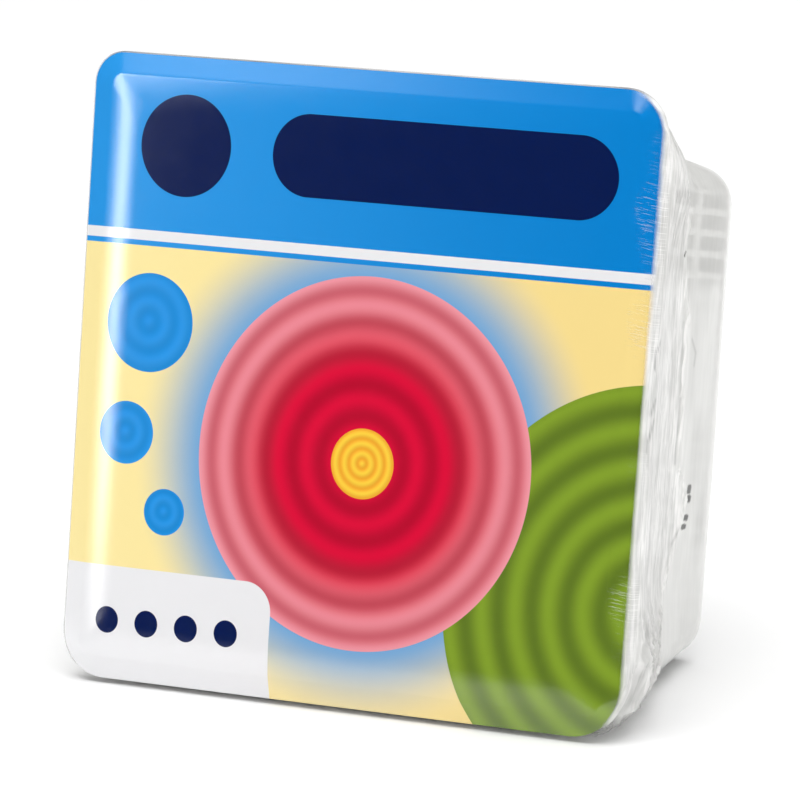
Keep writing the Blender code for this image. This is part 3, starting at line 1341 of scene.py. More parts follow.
@dataclass
class MouthCard:
    """The printed card: a flat face that rolls over near its crease, and a sloping border."""

    sizes: KitSizes
    lay: Lay
    plan: LoopPlan = LoopPlan(40, 40, 40, 40, 10)
    roll_start: float = 0.0770
    roll_slope: float = 0.165
    crease_width: float = 0.0012
    loop_counts: tuple[int, ...] = (11, 13, 8, 6)
    sharp_from: float = 40.0

    def face_depth(self, half: float) -> float:
        """How far back the face lies where the loop is half wide.

        Args:
            half: Half the loop's width.

        Returns:
            The depth in metres.
        """
        steps = 400
        places = np.linspace(0.0, half, steps)
        crease = self.sizes.bend_half
        rolled = np.clip((places - self.roll_start) / (crease - self.roll_start), 0.0, 1.0)
        rolled = rolled * self.roll_slope
        share = np.clip((places - crease + self.crease_width / 2.0) / self.crease_width, 0.0, 1.0)
        bent = share * share * (3.0 - 2.0 * share)
        slope = rolled + (self.border_slope - rolled) * bent
        return float(np.sum((slope[1:] + slope[:-1]) / 2.0 * np.diff(places)))

    @property
    def border_slope(self) -> float:
        """Slope of the border that keeps its outer edge at the solid's depth."""
        rolled = self.roll_slope * (self.sizes.bend_half - self.roll_start) / 2.0
        return (self.sizes.border_drop + 0.0003 - rolled) / (self.sizes.card_half - self.sizes.bend_half)

    def halves(self) -> list[float]:
        """Half widths of the face's loops, close together where it bends.

        Returns:
            The half widths, from the middle out.
        """
        crease = self.sizes.bend_half
        stops = (0.006, self.roll_start, crease - self.crease_width, crease + self.crease_width,
                 self.sizes.card_half)
        halves = [stops[0]]
        for start, end, count in zip(stops, stops[1:], self.loop_counts):
            halves.extend(np.linspace(start, end, count + 1)[1:])
        return halves

    def radius(self, half: float) -> Array:
        """Corner radii of the loop that is half wide.

        Args:
            half: Half the loop's width.

        Returns:
            Four radii.
        """
        sizes = self.sizes
        share = max(0.0, (half - sizes.bend_half) / (sizes.card_half - sizes.bend_half))
        inner = min(sizes.crease_radius, half * 0.5)
        return inner + (sizes.card_radius * np.array(sizes.card_corners) - inner) * share

    def build(self, material: Material) -> Piece:
        """Make the card and let it stand for its solid.

        Args:
            material: The piece's finish.

        Returns:
            The finished card.
        """
        loft = Loft()
        halves = self.halves()
        for run, behind in ((halves, 0.0), (reversed(halves), self.sizes.card_thickness)):
            for half in run:
                loop = self.plan.points(half, half, half, self.radius(half))
                loft.add(loop, self.face_depth(half) + behind)
        grid = loft.grid()
        mesh = Loft.mesh("printed_card", grid)
        write_uv(mesh, "flat", flat_map(grid, self.sizes))
        piece = finish_object("printed_card", mesh, self.lay, material, self.sharp_from)
        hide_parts("label_card")
        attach(piece, "root")
        return piece


def flat_map(grid: Array, sizes: KitSizes) -> Array:
    """UV pairs that look straight at the card, from 0 to 1 over its width and height.

    Args:
        grid: Rows of points.

    Returns:
        One pair for each point.
    """
    return grid.reshape(-1, 3)[:, (0, 2)] / (2.0 * sizes.card_half) + 0.5


def value_noise(across: Array, along: Array, seed: int) -> Array:
    """Smooth noise from -1 to 1 on a plane, the same for the same seed.

    Args:
        across: First coordinate, in cells.
        along: Second coordinate, in cells.
        seed: Picks the table of values.

    Returns:
        One value for each place.
    """
    table = np.random.default_rng(seed).uniform(-1.0, 1.0, (256, 256))
    cells = [np.floor(places).astype(int) for places in (across, along)]
    part_x, part_y = (part ** 3 * (part * (part * 6.0 - 15.0) + 10.0)
                      for part in (across - cells[0], along - cells[1]))
    near, far = (table[cells[0] % 256, column] * (1 - part_x) + table[(cells[0] + 1) % 256, column] * part_x
                 for column in (cells[1] % 256, (cells[1] + 1) % 256))
    return near * (1 - part_y) + far * part_y


def ridges(across: Array, along: Array, seed: int) -> Array:
    """Sharp-crested folds from 0 to 1, where smooth noise changes sign."""
    return (1.0 - np.abs(value_noise(across, along, seed))) ** 4


def ease(value: Array, low: float, high: float) -> Array:
    """A smooth step from 0 at low to 1 at high."""
    share = np.clip((value - low) / (high - low), 0.0, 1.0)
    return share * share * (3.0 - 2.0 * share)


@dataclass(frozen=True)
class Weave:
    """Noise on the film: the size of its cells round the wrap and along it, and its seed."""

    turn: float
    along: float
    seed: int

    def read(self, turn: Array, along: Array) -> Array:
        """The noise, from -1 to 1, at places round the wrap and along it."""
        return value_noise(turn / self.turn, along / self.along, self.seed)


@dataclass(frozen=True)
class FilmSeam:
    """The film's seam: its path down the right wall, and its two thin crests."""

    heights_mm: tuple[float, ...] = (
        -96.0, -77.0, -73.0, -65.0, -57.0, -50.8, -39.0, -33.0, -27.0, -20.0, -15.0, 5.0, 23.0, 33.0,
        49.0, 59.0, 69.0, 75.0, 83.0, 96.0)
    depths_mm: tuple[float, ...] = (
        22.0, 44.0, 47.0, 50.3, 56.8, 61.0, 68.0, 72.5, 74.5, 71.0, 66.5, 64.4, 63.0, 64.4,
        58.9, 56.0, 58.0, 38.0, 18.0, 14.0)
    wander: float = 0.0005
    plain: float = 0.0500
    low: float = 0.020
    half: float = 0.0022
    height: float = 0.0010
    width: float = 0.0005
    second_gap: float = 0.0013
    second_wander: float = 0.0004
    second_width: float = 0.0004
    second_share: float = 0.6
    crumple: Weave = Weave(0.0060, 0.008, 13)

    def line(self, loop: Array) -> Array:
        """Depth at which the gathers end: the seam on the right wall, a plain line elsewhere.

        Args:
            loop: One row of points.

        Returns:
            One depth for each column.
        """
        across, height = loop[:, 0], loop[:, 2]
        seam = np.interp(height / MM, self.heights_mm, self.depths_mm) * MM
        seam = seam + self.wander * value_noise(height / 0.008, height * 0.0 + 3.0, 11)
        right = ease(across - np.abs(height), -0.014, 0.0)
        corner = 1.0 - ease(np.abs(height) - 0.080, -0.02, 0.012)
        plain = self.plain * corner + self.low * (1.0 - corner)
        return seam * right + plain * (1.0 - right)

    def crests(self, depth: Array, line: Array, turn: Array) -> tuple[Array, Array]:
        """Shape the seam's two thin crests, and how crumpled they are.

        Args:
            depth: Depths behind the card's face.
            line: The seam's depth at each column.
            turn: Places round the wrap.

        Returns:
            The crests and their crumple, up to 1.
        """
        away = (depth - line) / self.width
        wander = self.second_wander * value_noise(turn / 0.006, turn * 0.0, 41)
        second = (depth - line + self.second_gap + wander) / self.second_width
        crest = np.maximum(np.exp(-away ** 2), self.second_share * np.exp(-second ** 2))
        return crest, 0.55 + 0.45 * self.crumple.read(turn, depth)


@dataclass(frozen=True)
class FilmMarks:
    """Painted shadow in small slit-shaped spots by the seam and painted shade along fainter creases, in
    millimetres up and back on the right wall.

    A slit has its middle, half its length and half its width. A crease has its two ends and how
    strong it is.
    """

    # Slit-shaped spots of painted shadow by the seam.
    slit_shadows: tuple[tuple[float, float, float, float], ...] = (
        (49.0, 56.1, 0.9, 0.5), (-23.2, 77.2, 1.5, 1.7), (-26.2, 77.3, 1.2, 1.9),
        (-32.0, 76.2, 1.0, 2.0), (-34.8, 74.8, 0.9, 2.2),
    )
    creases: tuple[tuple[float, float, float, float, float], ...] = (
        (23.0, 11.0, 19.0, 6.0, 0.22), (19.0, 6.0, 14.5, 6.5, 0.26), (19.3, 12.0, 15.5, 10.5, 0.20),
        (5.0, 9.0, 1.0, 6.0, 0.20), (3.0, 29.2, -3.0, 28.7, 0.14), (-1.0, 9.0, -7.0, 5.5, 0.22),
        (-7.0, 5.5, -10.0, 5.2, 0.18), (23.0, 69.5, 19.0, 73.6, 0.12), (19.0, 73.6, 15.2, 73.0, 0.12),
        (28.0, 61.0, 5.0, 62.4, 0.10), (5.0, 62.6, -15.0, 63.0, 0.16), (-23.0, 62.9, -28.8, 63.0, 0.14),
        (-35.0, 71.0, -40.0, 65.0, 0.12), (70.0, 40.0, 52.0, 53.0, 0.14), (84.0, 13.0, 69.0, 66.0, 0.10),
        (84.0, 12.0, 71.0, 47.0, 0.14), (82.0, 11.0, 66.0, 30.0, 0.12), (-60.0, 53.5, -74.0, 44.5, 0.12),
    )
    crease_width: float = 0.7
    crease_shade: float = 2.4
    slit_shadow_slant: float = 0.35
    slit_shadow_edge: tuple[float, float] = (0.8, 1.15)
    wall_from: float = 0.06

    def shade(self, grid: Array) -> Array:
        """Painted shadow in small slit-shaped spots by the seam, and painted shade along the film's fainter
        creases.

        Args:
            grid: The plain surface.

        Returns:
            Values from 0 to 1.
        """
        height, depth = grid[..., 2] / MM, grid[..., 1] / MM
        shade = np.zeros_like(height)
        # Painted shade along each crease, fading across its width.
        for upper, near, lower, far, strength in self.creases:
            share = np.clip(((height - upper) * (lower - upper) + (depth - near) * (far - near))
                            / ((lower - upper) ** 2 + (far - near) ** 2), 0.0, 1.0)
            away = np.hypot(height - upper - share * (lower - upper), depth - near - share * (far - near))
            shade = np.maximum(shade, self.crease_shade * strength
                               * np.exp(-(away / self.crease_width) ** 2))
        # Painted shadow in each slit-shaped spot.
        for centre, back, half_length, half_width in self.slit_shadows:
            along = np.abs(height - centre) / half_length
            over = np.abs(depth - back - self.slit_shadow_slant * (height - centre) / half_length) / half_width
            shade = np.maximum(shade, 1.0 - ease((along ** 4 + over ** 4) ** 0.25, *self.slit_shadow_edge))
        across = grid[..., 0]
        wall = ease(across - np.abs(grid[..., 2]), -0.012, 0.004) * (across > self.wall_from)
        return shade * wall


@dataclass
class ShrinkWrap:
    """The clear film: tight over the card, gathered behind the lip, seamed down the right wall."""

    sizes: KitSizes
    lay: Lay
    card: MouthCard
    seam: FilmSeam = FilmSeam()
    marks: FilmMarks = FilmMarks()
    plan: LoopPlan = LoopPlan(300, 76, 60, 30, 14)
    face_rows: int = 6
    border_rows: int = 18
    lip_rows: int = 6
    gather_rows: int = 60
    seam_rows: int = 16
    tight_rows: int = 44
    edge_rows: int = 6
    back_rows: int = 5
    table_rows: int = 220
    face_start: float = 0.010
    border_start: float = 0.074
    vent_radius: float = 0.0030
    gather_pitch: float = 0.0021
    gather_length: float = 0.009
    gather_bend: float = 1.1
    gather_height: float = 0.00009
    thread_pitch: float = 0.0009
    thread_length: float = 0.005
    thread_bend: float = 0.9
    thread_height: float = 0.00002
    sway_height: float = 0.00040
    band_height: float = 0.00006
    slow_height: float = 0.00025
    fold_cells: tuple[float, float] = (0.0060, 0.0055)
    fold_height: float = 0.0018
    small_fold_cells: tuple[float, float] = (0.0024, 0.0030)
    small_fold_height: float = 0.0008
    bulge: float = 0.0032
    bulge_end: float = 0.090
    fan: float = 0.0028
    fan_end: float = 0.064
    gather_veil: float = 0.07
    thread_veil: float = 0.03
    fleck_veil: float = 0.06
    less_veil: float = 0.03
    band_veil: float = 0.08
    under_veil: float = 0.35
    crest_veil: float = 0.25
    fold_veil: float = 0.10
    most_veil: float = 0.97
    # Milkiness under the painted shade and painted shadow marks, so that their dark colour shows.
    painted_shade_veil: float = 0.95
    warp: Weave = Weave(0.009, 0.006, 3)
    sway: Weave = Weave(0.045, 0.009, 7)
    bands: Weave = Weave(0.040, 0.0090, 17)
    doubled: Weave = Weave(0.030, 0.008, 21)
    cloud: Weave = Weave(0.035, 0.022, 23)
    slow: Weave = Weave(0.050, 0.012, 27)
    clear_spots: Weave = Weave(0.0080, 0.0060, 43)
    flecks: Weave = Weave(0.0050, 0.0022, 47)

    @property
    def lip_row(self) -> int:
        """Number of the row where the film leaves the lip."""
        return self.face_rows + self.border_rows + self.lip_rows - 1

    def rows(self) -> tuple[Array, Array, Array]:
        """Lay out the film's plain surface.

        Returns:
            The points, how far along the wrap each lies, and how far round it each column lies.
        """
        front = Loft()
        sizes = self.sizes
        card = self.card
        skin = sizes.film_skin
        inner = np.linspace(self.face_start, self.border_start, self.face_rows)
        border = np.linspace(self.border_start, sizes.card_half, self.border_rows + 1)[1:]
        for half in (*inner, *border):
            front.add(self.plan.points(half, half, half, card.radius(half)), card.face_depth(half) - skin)
        edge = card.face_depth(sizes.card_half)
        lip = sizes.film_lip_half
        corners = card.radius(sizes.card_half) + skin
        front.add(self.plan.points(lip, lip, lip, corners), edge)
        for share in np.linspace(0.0, 1.0, self.lip_rows - 1):
            start = edge + sizes.card_thickness + skin
            depth = start + (sizes.film_lip_depth - start) * share
            radius = corners + (sizes.rim_radius + skin - corners) * share
            front.add(self.plan.points(lip, lip, lip, radius), depth)
        back = Loft()
        turn = sizes.base_edge + skin
        for share in np.linspace(0.0, 1.0, self.edge_rows + 1)[1:]:
            angle = math.radians(90.0 * share)
            drawn = turn * (1.0 - math.cos(angle))
            half = sizes.film_end_half - drawn
            depth = sizes.film_end_depth + turn * math.sin(angle)
            back.add(self.plan.points(half, half, half, sizes.body_radius + skin - drawn), depth)
        for half in np.linspace(sizes.film_end_half - turn, self.vent_radius * 2.0, self.back_rows + 1)[1:]:
            back.add(self.plan.points(half, half, half, half * 0.2), sizes.basket_depth + skin)
        grid = np.concatenate((front.grid(), self.side_rows(), back.grid()))
        along = np.linalg.norm(np.diff(grid, axis=0), axis=2)
        along = np.concatenate((np.zeros((1, grid.shape[1])), np.cumsum(along, axis=0)))
        edge_loop = front.grid()[-1]
        around = np.linalg.norm(edge_loop - np.roll(edge_loop, 1, axis=0), axis=1)
        around[0] = 0.0
        return grid, along, np.cumsum(around)

    def side_rows(self) -> Array:
        """Rows from the lip to the base's edge, which crowd together along the seam.

        Returns:
            Rows of points.
        """
        sizes = self.sizes
        table = Loft()
        depths = np.linspace(sizes.film_lip_depth, sizes.film_end_depth, self.table_rows)
        for depth in depths:
            side, lower, radius = self.side_profile(depth)
            table.add(self.plan.points(side, side, lower, radius), depth)
        loops = table.grid()
        line = self.seam.line(loops[0])
        start, end = depths[0], depths[-1]
        low, high = line - self.seam.half, line + self.seam.half
        parts = []
        for near, far, count in ((start, low, self.gather_rows), (low, high, self.seam_rows),
                                 (high, end, self.tight_rows)):
            parts.append(near + (far - near) * np.linspace(0.0, 1.0, count + 1)[1:, None])
        wanted = (np.concatenate(parts) - start) / (end - start) * (len(depths) - 1)
        below = np.clip(np.floor(wanted).astype(int), 0, len(depths) - 2)
        part = (wanted - below)[..., None]
        columns = np.arange(loops.shape[1])[None, :]
        return loops[below, columns] * (1.0 - part) + loops[below + 1, columns] * part

    def side_profile(self, depth: float) -> tuple[float, float, float]:
        """Half width, lower half height and corner radius of the film at a depth.

        Args:
            depth: How far behind the card's face.

        Returns:
            The three sizes.
        """
        sizes = self.sizes
        skin = sizes.film_skin
        lip = sizes.film_lip_half
        start = sizes.film_lip_depth
        fall = (sizes.film_end_half - lip) / (sizes.film_end_depth - start)
        lower = lip + fall * (depth - start)
        share = (depth - start) / (sizes.film_meets_wall - start)
        meet = sizes.body(sizes.film_meets_wall) + skin
        if share < 1.0:
            side = lip + (meet - lip) * share - sizes.film_sag * math.sin(math.pi * share)
            radius = sizes.rim_radius + skin + (sizes.body_radius - sizes.rim_radius) * share
            return side, lower, radius
        return sizes.body(depth) + skin, lower, sizes.body_radius + skin

    def relief(self, grid: Array, around: Array) -> tuple[Array, Array, Array]:
        """How far the film stands out from its plain surface, and how it looks there.

        Args:
            grid: The plain surface.
            around: How far round the wrap each column lies.

        Returns:
            Height over the plain surface, milkiness, and the mask of fine puckering, which is bumped and
            whitened as painted glints, for every point.
        """
        across, depth, height = grid[..., 0], grid[..., 1], grid[..., 2]
        lip = self.sizes.film_lip_depth
        turn = np.broadcast_to(around[None, :], depth.shape)
        line = self.seam.line(grid[self.lip_row])[None, :]
        beyond = across - np.abs(height)
        bottom = ease(-height, 0.0, 0.070) * ease(np.abs(height) - np.abs(across), -0.004, 0.004)
        upper = ease(height - np.abs(across), -0.010, 0.004)
        walls = (1.0 - bottom) * (1.0 - ease(depth, 0.097, 0.0998))
        free = walls * ease(depth, lip - 0.001, lip + 0.004)
        past_edge = (np.arange(len(grid)) >= self.face_rows + self.border_rows - 1)[:, None]
        beside = ease(beyond, -0.012, 0.0) * ease(across, 0.080, 0.090)
        seen = walls * np.maximum(ease(depth, lip - 0.0060, lip - 0.0050), past_edge * beside)
        right = ease(beyond, -0.012, 0.004) * ease(across, 0.060, 0.072)
        reach = (depth - lip) / np.maximum(line - lip, 0.004)
        slack = 1.0 - ease(reach, 0.85, 1.15)
        lanes = reach * (self.seam.plain - lip)
        warp = self.warp.read(turn, lanes)
        gathers = ridges(lanes / self.gather_pitch + self.gather_bend * warp, turn / self.gather_length, 5)
        threads = ridges(lanes / self.thread_pitch + self.thread_bend * warp, turn / self.thread_length, 9)
        sway = self.sway.read(turn, lanes)
        bands = 0.5 + 0.5 * self.bands.read(turn, depth)
        loose = (gathers * self.gather_height + threads * self.thread_height
                 + (sway + 1.0) * self.sway_height)
        tight = bands * self.band_height + (self.slow.read(turn, depth) + 1.0) * self.slow_height
        lift = free * (slack * loose + (1.0 - slack) * tight) * (1.0 - 0.6 * upper)
        strong = 1.0 + 1.2 * ease(height, 0.030, 0.060)
        flecks = self.flecks.read(turn, lanes)
        texture = slack * strong * (self.gather_veil * gathers + self.thread_veil * threads
                                    + self.fleck_veil * flecks - self.less_veil)
        milk = self.milkiness(right, height, depth, turn, slack)
        veil = seen * (milk + texture + (1.0 - slack) * self.band_veil * bands)
        veil = veil + bottom * self.under_veil * ease(depth, lip, lip + 0.004)
        crest, crumple = self.seam.crests(depth, line, turn)
        crest = crest * (1.0 - 0.8 * ease(height, 0.056, 0.066))
        lift = lift + right * free * crest * crumple * self.seam.height
        veil = veil + right * self.crest_veil * crest * (0.4 + 0.6 * crumple)
        bunch = self.bunch(across, depth, height)
        folds = ridges(turn / self.fold_cells[0] + warp, depth / self.fold_cells[1] + sway, 31)
        small = ridges(turn / self.small_fold_cells[0], depth / self.small_fold_cells[1] + warp, 37)
        lift = lift + bunch * (self.fold_height * folds + self.small_fold_height * small)
        lift = lift + self.bulge * self.slack_corner(across, depth, -height, self.bulge_end, 0.5)
        lift = lift + self.fan * self.slack_corner(across, depth, height, self.fan_end, 1.0)
        thin = 0.30 + 0.35 * ease(self.clear_spots.read(turn, depth), -0.2, 0.5)
        veil = veil * (1.0 - bunch * thin * (1.0 - 0.8 * folds)) + bunch * self.fold_veil * folds
        pucker = self.pucker(across, depth, height)
        return np.maximum(lift, 0.0), np.clip(veil, 0.0, self.most_veil), pucker

    def milkiness(self, right: Array, height: Array, depth: Array, turn: Array, slack: Array) -> Array:
        """How milky the film is: doubled down the right wall's middle and foot, clearer over them.

        Args:
            right: One on the right wall.
            depth: Depths behind the card's face.
            turn: Places round the wrap.
            slack: One where the film is gathered.

        Returns:
            Values from 0 to 1.
        """
        foot = 1.0 - ease(height, -0.050, -0.034)
        middle = ease(height, -0.050, -0.034) * (1.0 - ease(height, 0.036, 0.046))
        top = 1.0 - middle - foot
        wall = (middle * (0.87 + 0.14 * self.doubled.read(turn, depth)) + foot * (0.90 - 0.10 * slack)
                + top * (0.64 + 0.07 * slack + 0.14 * ease(height, 0.064, 0.074)))
        loose = 0.58 + 0.25 * ease(self.cloud.read(turn, depth), -0.3, 0.6)
        return right * wall + (1.0 - right) * loose

    def bunch(self, across: Array, depth: Array, height: Array) -> Array:
        """Mask of the loose film behind the lip's lower right corner.

        Args:
            depth: Depths behind the card's face.

        Returns:
            Values from 0 to 1.
        """
        beside = ease(across, 0.040, 0.075) * ease(-height, 0.050, 0.080)
        behind = ease(depth, self.sizes.film_lip_depth - 0.002, self.sizes.film_lip_depth + 0.003)
        return beside * behind * (1.0 - ease(depth, 0.034, 0.060))

    def slack_corner(self, across: Array, depth: Array, height: Array,
                     end: float, power: float) -> Array:
        """Mask of the film that spans a right corner without touching the wall, down to a depth.

        Args:
            depth: Depths behind the card's face.
            end: Depth at which the film meets the wall.
            power: Over 1 to move the mask's peak back, under 1 to move it forward.

        Returns:
            Values from 0 to 1.
        """
        start = self.sizes.film_lip_depth
        span = np.clip((depth - start) / (end - start), 0.0, 1.0)
        return ease(across, 0.045, 0.072) * ease(height, 0.048, 0.076) * np.sin(math.pi * span ** power)

    def pucker(self, across: Array, depth: Array, height: Array) -> Array:
        """Mask of the fine wrinkles over the card's right edge and the lip, in uneven patches: bumped, and
        whitened as painted glints.

        Args:
            depth: Depths behind the card's face.

        Returns:
            Values from 0 to 1.
        """
        front = 1.0 - ease(depth, self.sizes.lip_end - 0.002, self.sizes.lip_end)
        patch = ease(value_noise(height / 0.013, across / 0.03, 19), -0.5, 0.4)
        main = ease(height, 0.012, 0.024) * (1.0 - ease(height, 0.062, 0.072))
        foot = ease(height, -0.062, -0.056) * (1.0 - ease(height, -0.052, -0.046))
        share = (0.30 + 0.70 * patch) * np.maximum(main, 0.8 * foot) + 0.25 * patch
        right = ease(across - 0.0922 + 0.0032 * share, 0.0, 0.0018)
        return right * ease(across - np.abs(height), -0.002, 0.012) * front * np.minimum(share, 1.0)

    def rest_on_floor(self, points: Array) -> Array:
        """Press any point that would lie under the ground up to it.

        Args:
            points: The film's points.

        Returns:
            The points, none under the ground.
        """
        lean = self.lay.lean
        height = points[..., 2] * math.cos(lean) - points[..., 1] * math.sin(lean) + self.lay.shift.z
        lifted = points.copy()
        lifted[..., 2] += np.maximum(-height, 0.0) / math.cos(lean)
        return lifted

    def build(self, material: Material) -> Piece:
        """Make the film and let it stand for its solid.

        Args:
            material: The piece's finish.

        Returns:
            The finished film.
        """
        grid, along, around = self.rows()
        lift, veil, pucker = self.relief(grid, around)
        normals = Loft.normals(grid)
        middle = grid.reshape(-1, 3).mean(axis=0)
        outward = np.sign(np.sum(normals * (grid - middle), axis=2).mean())
        mesh = Loft.mesh("clear_film", self.rest_on_floor(grid + normals * outward * lift[..., None]))
        edge = grid[self.face_rows + self.border_rows]
        closing = float(np.linalg.norm(edge[0] - edge[-1]))
        round_wrap = np.broadcast_to(around[None, :], along.shape)
        wrap = np.stack((round_wrap, along - along[self.lip_row]), axis=2)
        write_uv(mesh, "wrap", wrap.reshape(-1, 2), float(around[-1]) + closing)
        write_uv(mesh, "flat", flat_map(grid, self.sizes))
        # Painted shade along the creases and painted shadow in slit-shaped spots, on the right wall only.
        painted_shade = self.marks.shade(grid)
        line = self.seam.line(grid[self.lip_row])[None, :]
        loose = 1.0 - ease(grid[..., 1] - line, -0.001, 0.006)
        values = (np.maximum(veil, self.painted_shade_veil * painted_shade), pucker, painted_shade, loose)
        for name, layer in zip(FILM_LAYERS, values):
            data = mesh.attributes.new(name, "FLOAT", "POINT").data
            data.foreach_set("value", layer.astype(np.float32).ravel())
        piece = finish_object("clear_film", mesh, self.lay, material, SMOOTH)
        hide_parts("shrink_film")
        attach(piece, "root")
        return piece


@dataclass
class FillingBag:
    """The pale bag inside the basket, slack and dented between its corners."""

    sizes: KitSizes
    lay: Lay
    plan: LoopPlan = LoopPlan(40, 40, 40, 40, 8)
    front: float = 0.0060
    back_gap: float = 0.0032
    side_gap: float = 0.0016
    shoulder: float = 0.0130
    radius: float = 0.0160
    dent: float = 0.0010
    crease: float = 0.0004
    rows: int = 34
    voxel: float = 0.0045
    pressure: float = 4.0
    frames: int = 20
    most_move: float = 0.0010

    def settle(self, mesh: Mesh) -> Mesh:
        """Swell the bag by a short cloth simulation, then smooth it.

        Args:
            mesh: The bag's plain closed shape.

        Returns:
            The settled mesh, with no point moved further than the cap.
        """
        plain = linked("bag_plain", mesh)
        even = plain.modifiers.new("even_faces", "REMESH")
        even.mode = "VOXEL"
        even.voxel_size = self.voxel
        bag = linked("bag_settling", evaluated_mesh(plain))
        start = mesh_points(bag.data)
        cloth = bag.modifiers.new("cloth", "CLOTH")
        cloth.settings.use_pressure = True
        cloth.settings.uniform_pressure_force = self.pressure
        cloth.settings.effector_weights.gravity = 0.0
        cloth.point_cache.frame_end = self.frames
        for frame in range(1, self.frames + 1):
            bpy.context.scene.frame_set(frame)
        settled = evaluated_mesh(bag)
        bpy.context.scene.frame_set(1)
        moved = mesh_points(settled) - start
        length = np.linalg.norm(moved, axis=1, keepdims=True)
        move_points(settled, start + moved * np.minimum(1.0, self.most_move / np.maximum(length, 1e-9)))
        LOG.info("bag settled: %d points, %.2f mm before the cap", len(start), length.max() / MM)
        smooth = linked("bag_smooth", settled)
        rounding = smooth.modifiers.new("rounding", "SUBSURF")
        rounding.levels = 1
        rounding.render_levels = 1
        return evaluated_mesh(smooth)

    def shape(self) -> Mesh:
        """The bag's plain closed shape, just clear of the basket.

        Returns:
            The closed mesh.
        """
        loft = Loft()
        back = self.sizes.basket_depth - self.back_gap
        for share in np.linspace(0.0, 1.0, self.rows):
            depth = self.front + (back - self.front) * (1.0 - math.cos(math.pi * share)) / 2.0
            end = max(0.0, 1.0 - (depth - self.front) / self.shoulder, 1.0 - (back - depth) / self.shoulder)
            drawn = self.shoulder * (1.0 - math.sqrt(max(0.0, 1.0 - end ** 2)))
            side = self.sizes.body(depth) - self.sizes.wall - self.side_gap - drawn
            loft.add(self.plan.points(side, side, side, self.radius), depth)
        return Loft.mesh("bag_shape", loft.grid())

    def build(self, material: Material) -> Piece:
        """Make the bag and let it stand for its solid.

        Args:
            material: The piece's finish.

        Returns:
            The finished bag.
        """
        mesh = self.settle(self.shape())
        points = mesh_points(mesh)
        normals = np.empty(points.size, dtype=np.float32)
        mesh.vertices.foreach_get("normal", normals)
        place = np.arctan2(points[:, 2], points[:, 0]) * 0.1
        dents = (value_noise(place / 0.016, points[:, 1] / 0.018, 23) - 1.0) * self.dent / 2.0
        creases = ridges(place / 0.011, points[:, 1] / 0.013, 29) * self.crease
        move_points(mesh, points + normals.reshape(-1, 3) * (dents + creases)[:, None])
        piece = finish_object("filling_bag_cloth", mesh, self.lay, material, SMOOTH)
        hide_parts("filling_bag")
        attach(piece, "root")
        return piece


def direction(azimuth: float, elevation: float) -> Vector:
    """Args:
        azimuth: Angle from the front towards the right.
        elevation: Angle over the ground.

    Returns:
        A unit vector.
    """
    turn = math.radians(azimuth)
    rise = math.radians(elevation)
    return Vector((math.sin(turn) * math.cos(rise), -math.cos(turn) * math.cos(rise), math.sin(rise)))


@dataclass(frozen=True)
class SoftBox:
    name: str
    azimuth: float
    elevation: float
    distance: float
    width: float
    height: float
    power: float
    feather: float = 0.0
    feather_up: float = 0.0

    def soften(self, data: bpy.types.Light) -> None:
        """Let the light fade towards its own edges.

        Args:
            data: The light, changed in place.
        """
        data.use_nodes = True
        graph = Graph(data.node_tree)
        place = graph.add("ShaderNodeNewGeometry").outputs["Parametric"]
        arm = graph.vector("ABSOLUTE", graph.vector("SUBTRACT", place, (0.5, 0.5, 0.0)))
        across, up, _ = graph.split(arm)
        fade = graph.times(graph.ramp(across, 0.5, 0.5 * (1.0 - self.feather)),
                           graph.ramp(up, 0.5, 0.5 * (1.0 - self.feather_up)))
        graph.feed(data.node_tree.nodes["Emission"].inputs["Strength"], fade)

    def build(self, target: Vector) -> None:
        """Make the light and turn it to the target.

        Args:
            target: The point that it shines on.
        """
        away = direction(self.azimuth, self.elevation)
        data = bpy.data.lights.new(self.name, "AREA")
        data.shape = "RECTANGLE"
        data.size = self.width
        data.size_y = self.height
        data.energy = self.power
        if self.feather:
            self.soften(data)
        lamp = linked(self.name, data)
        lamp.location = target + away * self.distance
        lamp.rotation_euler = away.to_track_quat("Z", "Y").to_euler()


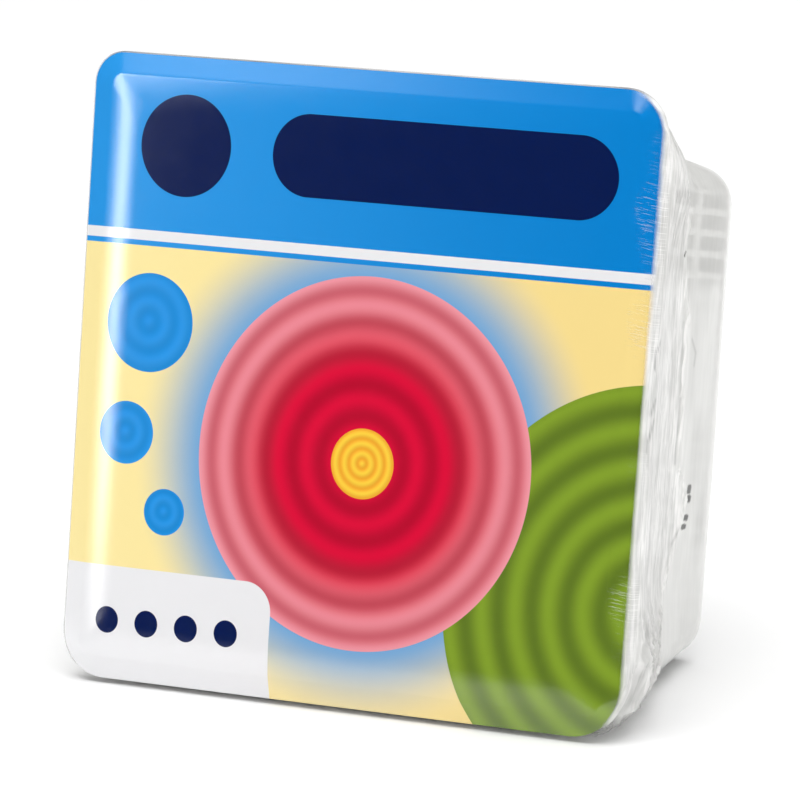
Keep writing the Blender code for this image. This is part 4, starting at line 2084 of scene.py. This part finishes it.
@dataclass
class Studio:
    """The pale floor, the soft lights and the camera."""

    azimuth: float = 27.57
    elevation: float = 12.28
    roll: float = -0.93
    distance: float = 1.5400
    lens: float = 225.0
    sensor: float = 36.0
    clip: tuple[float, float] = (0.05, 50.0)
    aim_right: float = -0.00694
    aim_up: float = -0.01196
    middle: tuple[float, float, float] = (0.0, 0.0, 0.095)
    boxes: tuple[SoftBox, ...] = (
        SoftBox("key_box", 12.0, 66.0, 1.6, 1.2, 0.8, 2.8),
        SoftBox("right_box", 82.0, 24.0, 1.5, 0.9, 1.0, 5.4),
        SoftBox("left_strip", -41.6, 19.0, 1.5, 0.32, 1.00, 11.0, 1.0, 0.3),
        SoftBox("border_box", -43.0, 45.0, 1.5, 0.40, 0.30, 0.8, 1.0, 1.0),
    )
    dome_strength: float = 3.2
    dome_angle: float = 80.0
    air_strength: float = 0.05
    floor_half: float = 6.0
    floor_tones: tuple[float, float] = (0.90, 0.93)

    def build_camera(self) -> None:
        """Stand the camera where the view was taken from."""
        back = direction(self.azimuth, self.elevation)
        turn = math.radians(self.azimuth)
        right = Vector((math.cos(turn), math.sin(turn), 0.0))
        up = back.cross(right)
        roll = math.radians(self.roll)
        turned = right * math.cos(roll) + up * math.sin(roll)
        upright = up * math.cos(roll) - right * math.sin(roll)
        target = Vector(self.middle) + turned * self.aim_right + upright * self.aim_up
        data = bpy.data.cameras.new("camera")
        data.lens = self.lens
        data.sensor_width = self.sensor
        data.clip_start, data.clip_end = self.clip
        camera = linked("camera", data)
        axes = Matrix((turned, upright, back)).transposed()
        camera.matrix_world = Matrix.Translation(target + back * self.distance) @ axes.to_4x4()
        bpy.context.scene.camera = camera

    def build_floor(self) -> None:
        """Lay the pale floor."""
        mesh = bmesh.new()
        bmesh.ops.create_grid(mesh, x_segments=2, y_segments=2, size=self.floor_half)
        data = bpy.data.meshes.new("floor")
        mesh.to_mesh(data)
        mesh.free()
        material, graph, shader = new_material("pale_floor")
        place = graph.add("ShaderNodeTexCoord").outputs["Object"]
        low, high = ((tone, tone, tone, 1.0) for tone in self.floor_tones)
        graph.feed(shader.inputs["Base Color"], graph.blend(graph.noise(place, 3.0), low, high))
        shader.inputs["Roughness"].default_value = 0.9
        shader.inputs["Specular IOR Level"].default_value = 0.1
        data.materials.append(material)
        floor = linked("floor", data)

    def build_dome(self) -> None:
        """Spread one wide soft light over the whole floor from above."""
        data = bpy.data.lights.new("overhead_dome", "SUN")
        data.energy = self.dome_strength
        data.angle = math.radians(self.dome_angle)
        linked("overhead_dome", data).location = (0.0, 0.0, 2.0)

    def build(self) -> None:
        """Make the whole studio."""
        self.build_camera()
        self.build_floor()
        target = Vector(self.middle)
        for box in self.boxes:
            box.build(target)
        self.build_dome()
        world = bpy.data.worlds.new("studio_air")
        world.use_nodes = True
        air = world.node_tree.nodes["Background"].inputs
        air["Color"].default_value = (1.0, 1.0, 1.0, 1.0)
        air["Strength"].default_value = self.air_strength
        bpy.context.scene.world = world
        bpy.context.scene.view_settings.view_transform = "Standard"


def write_size() -> None:
    """Update the view layer."""
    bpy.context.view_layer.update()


def main() -> None:
    logging.basicConfig(level=logging.INFO, format="%(name)s: %(message)s")
    sizes = KitSizes()
    lay = Lay.from_frame(sizes)
    groups = Groups.build()
    card = MouthCard(sizes, lay)
    pieces = (
        LatticeBasket(sizes, lay).build(MouldedPlastic(groups).material()),
        FillingBag(sizes, lay).build(Fleece(groups).material()),
        card.build(PrintedCard(groups, 2.0 * sizes.card_half / MM).material()),
        ShrinkWrap(sizes, lay, card).build(ClearFilm(groups).material()),
    )
    for piece in pieces:
        LOG.info("%s has %d faces", piece.name, len(piece.data.polygons))
    Studio().build()
    write_size()


if __name__ == "__main__":
    main()
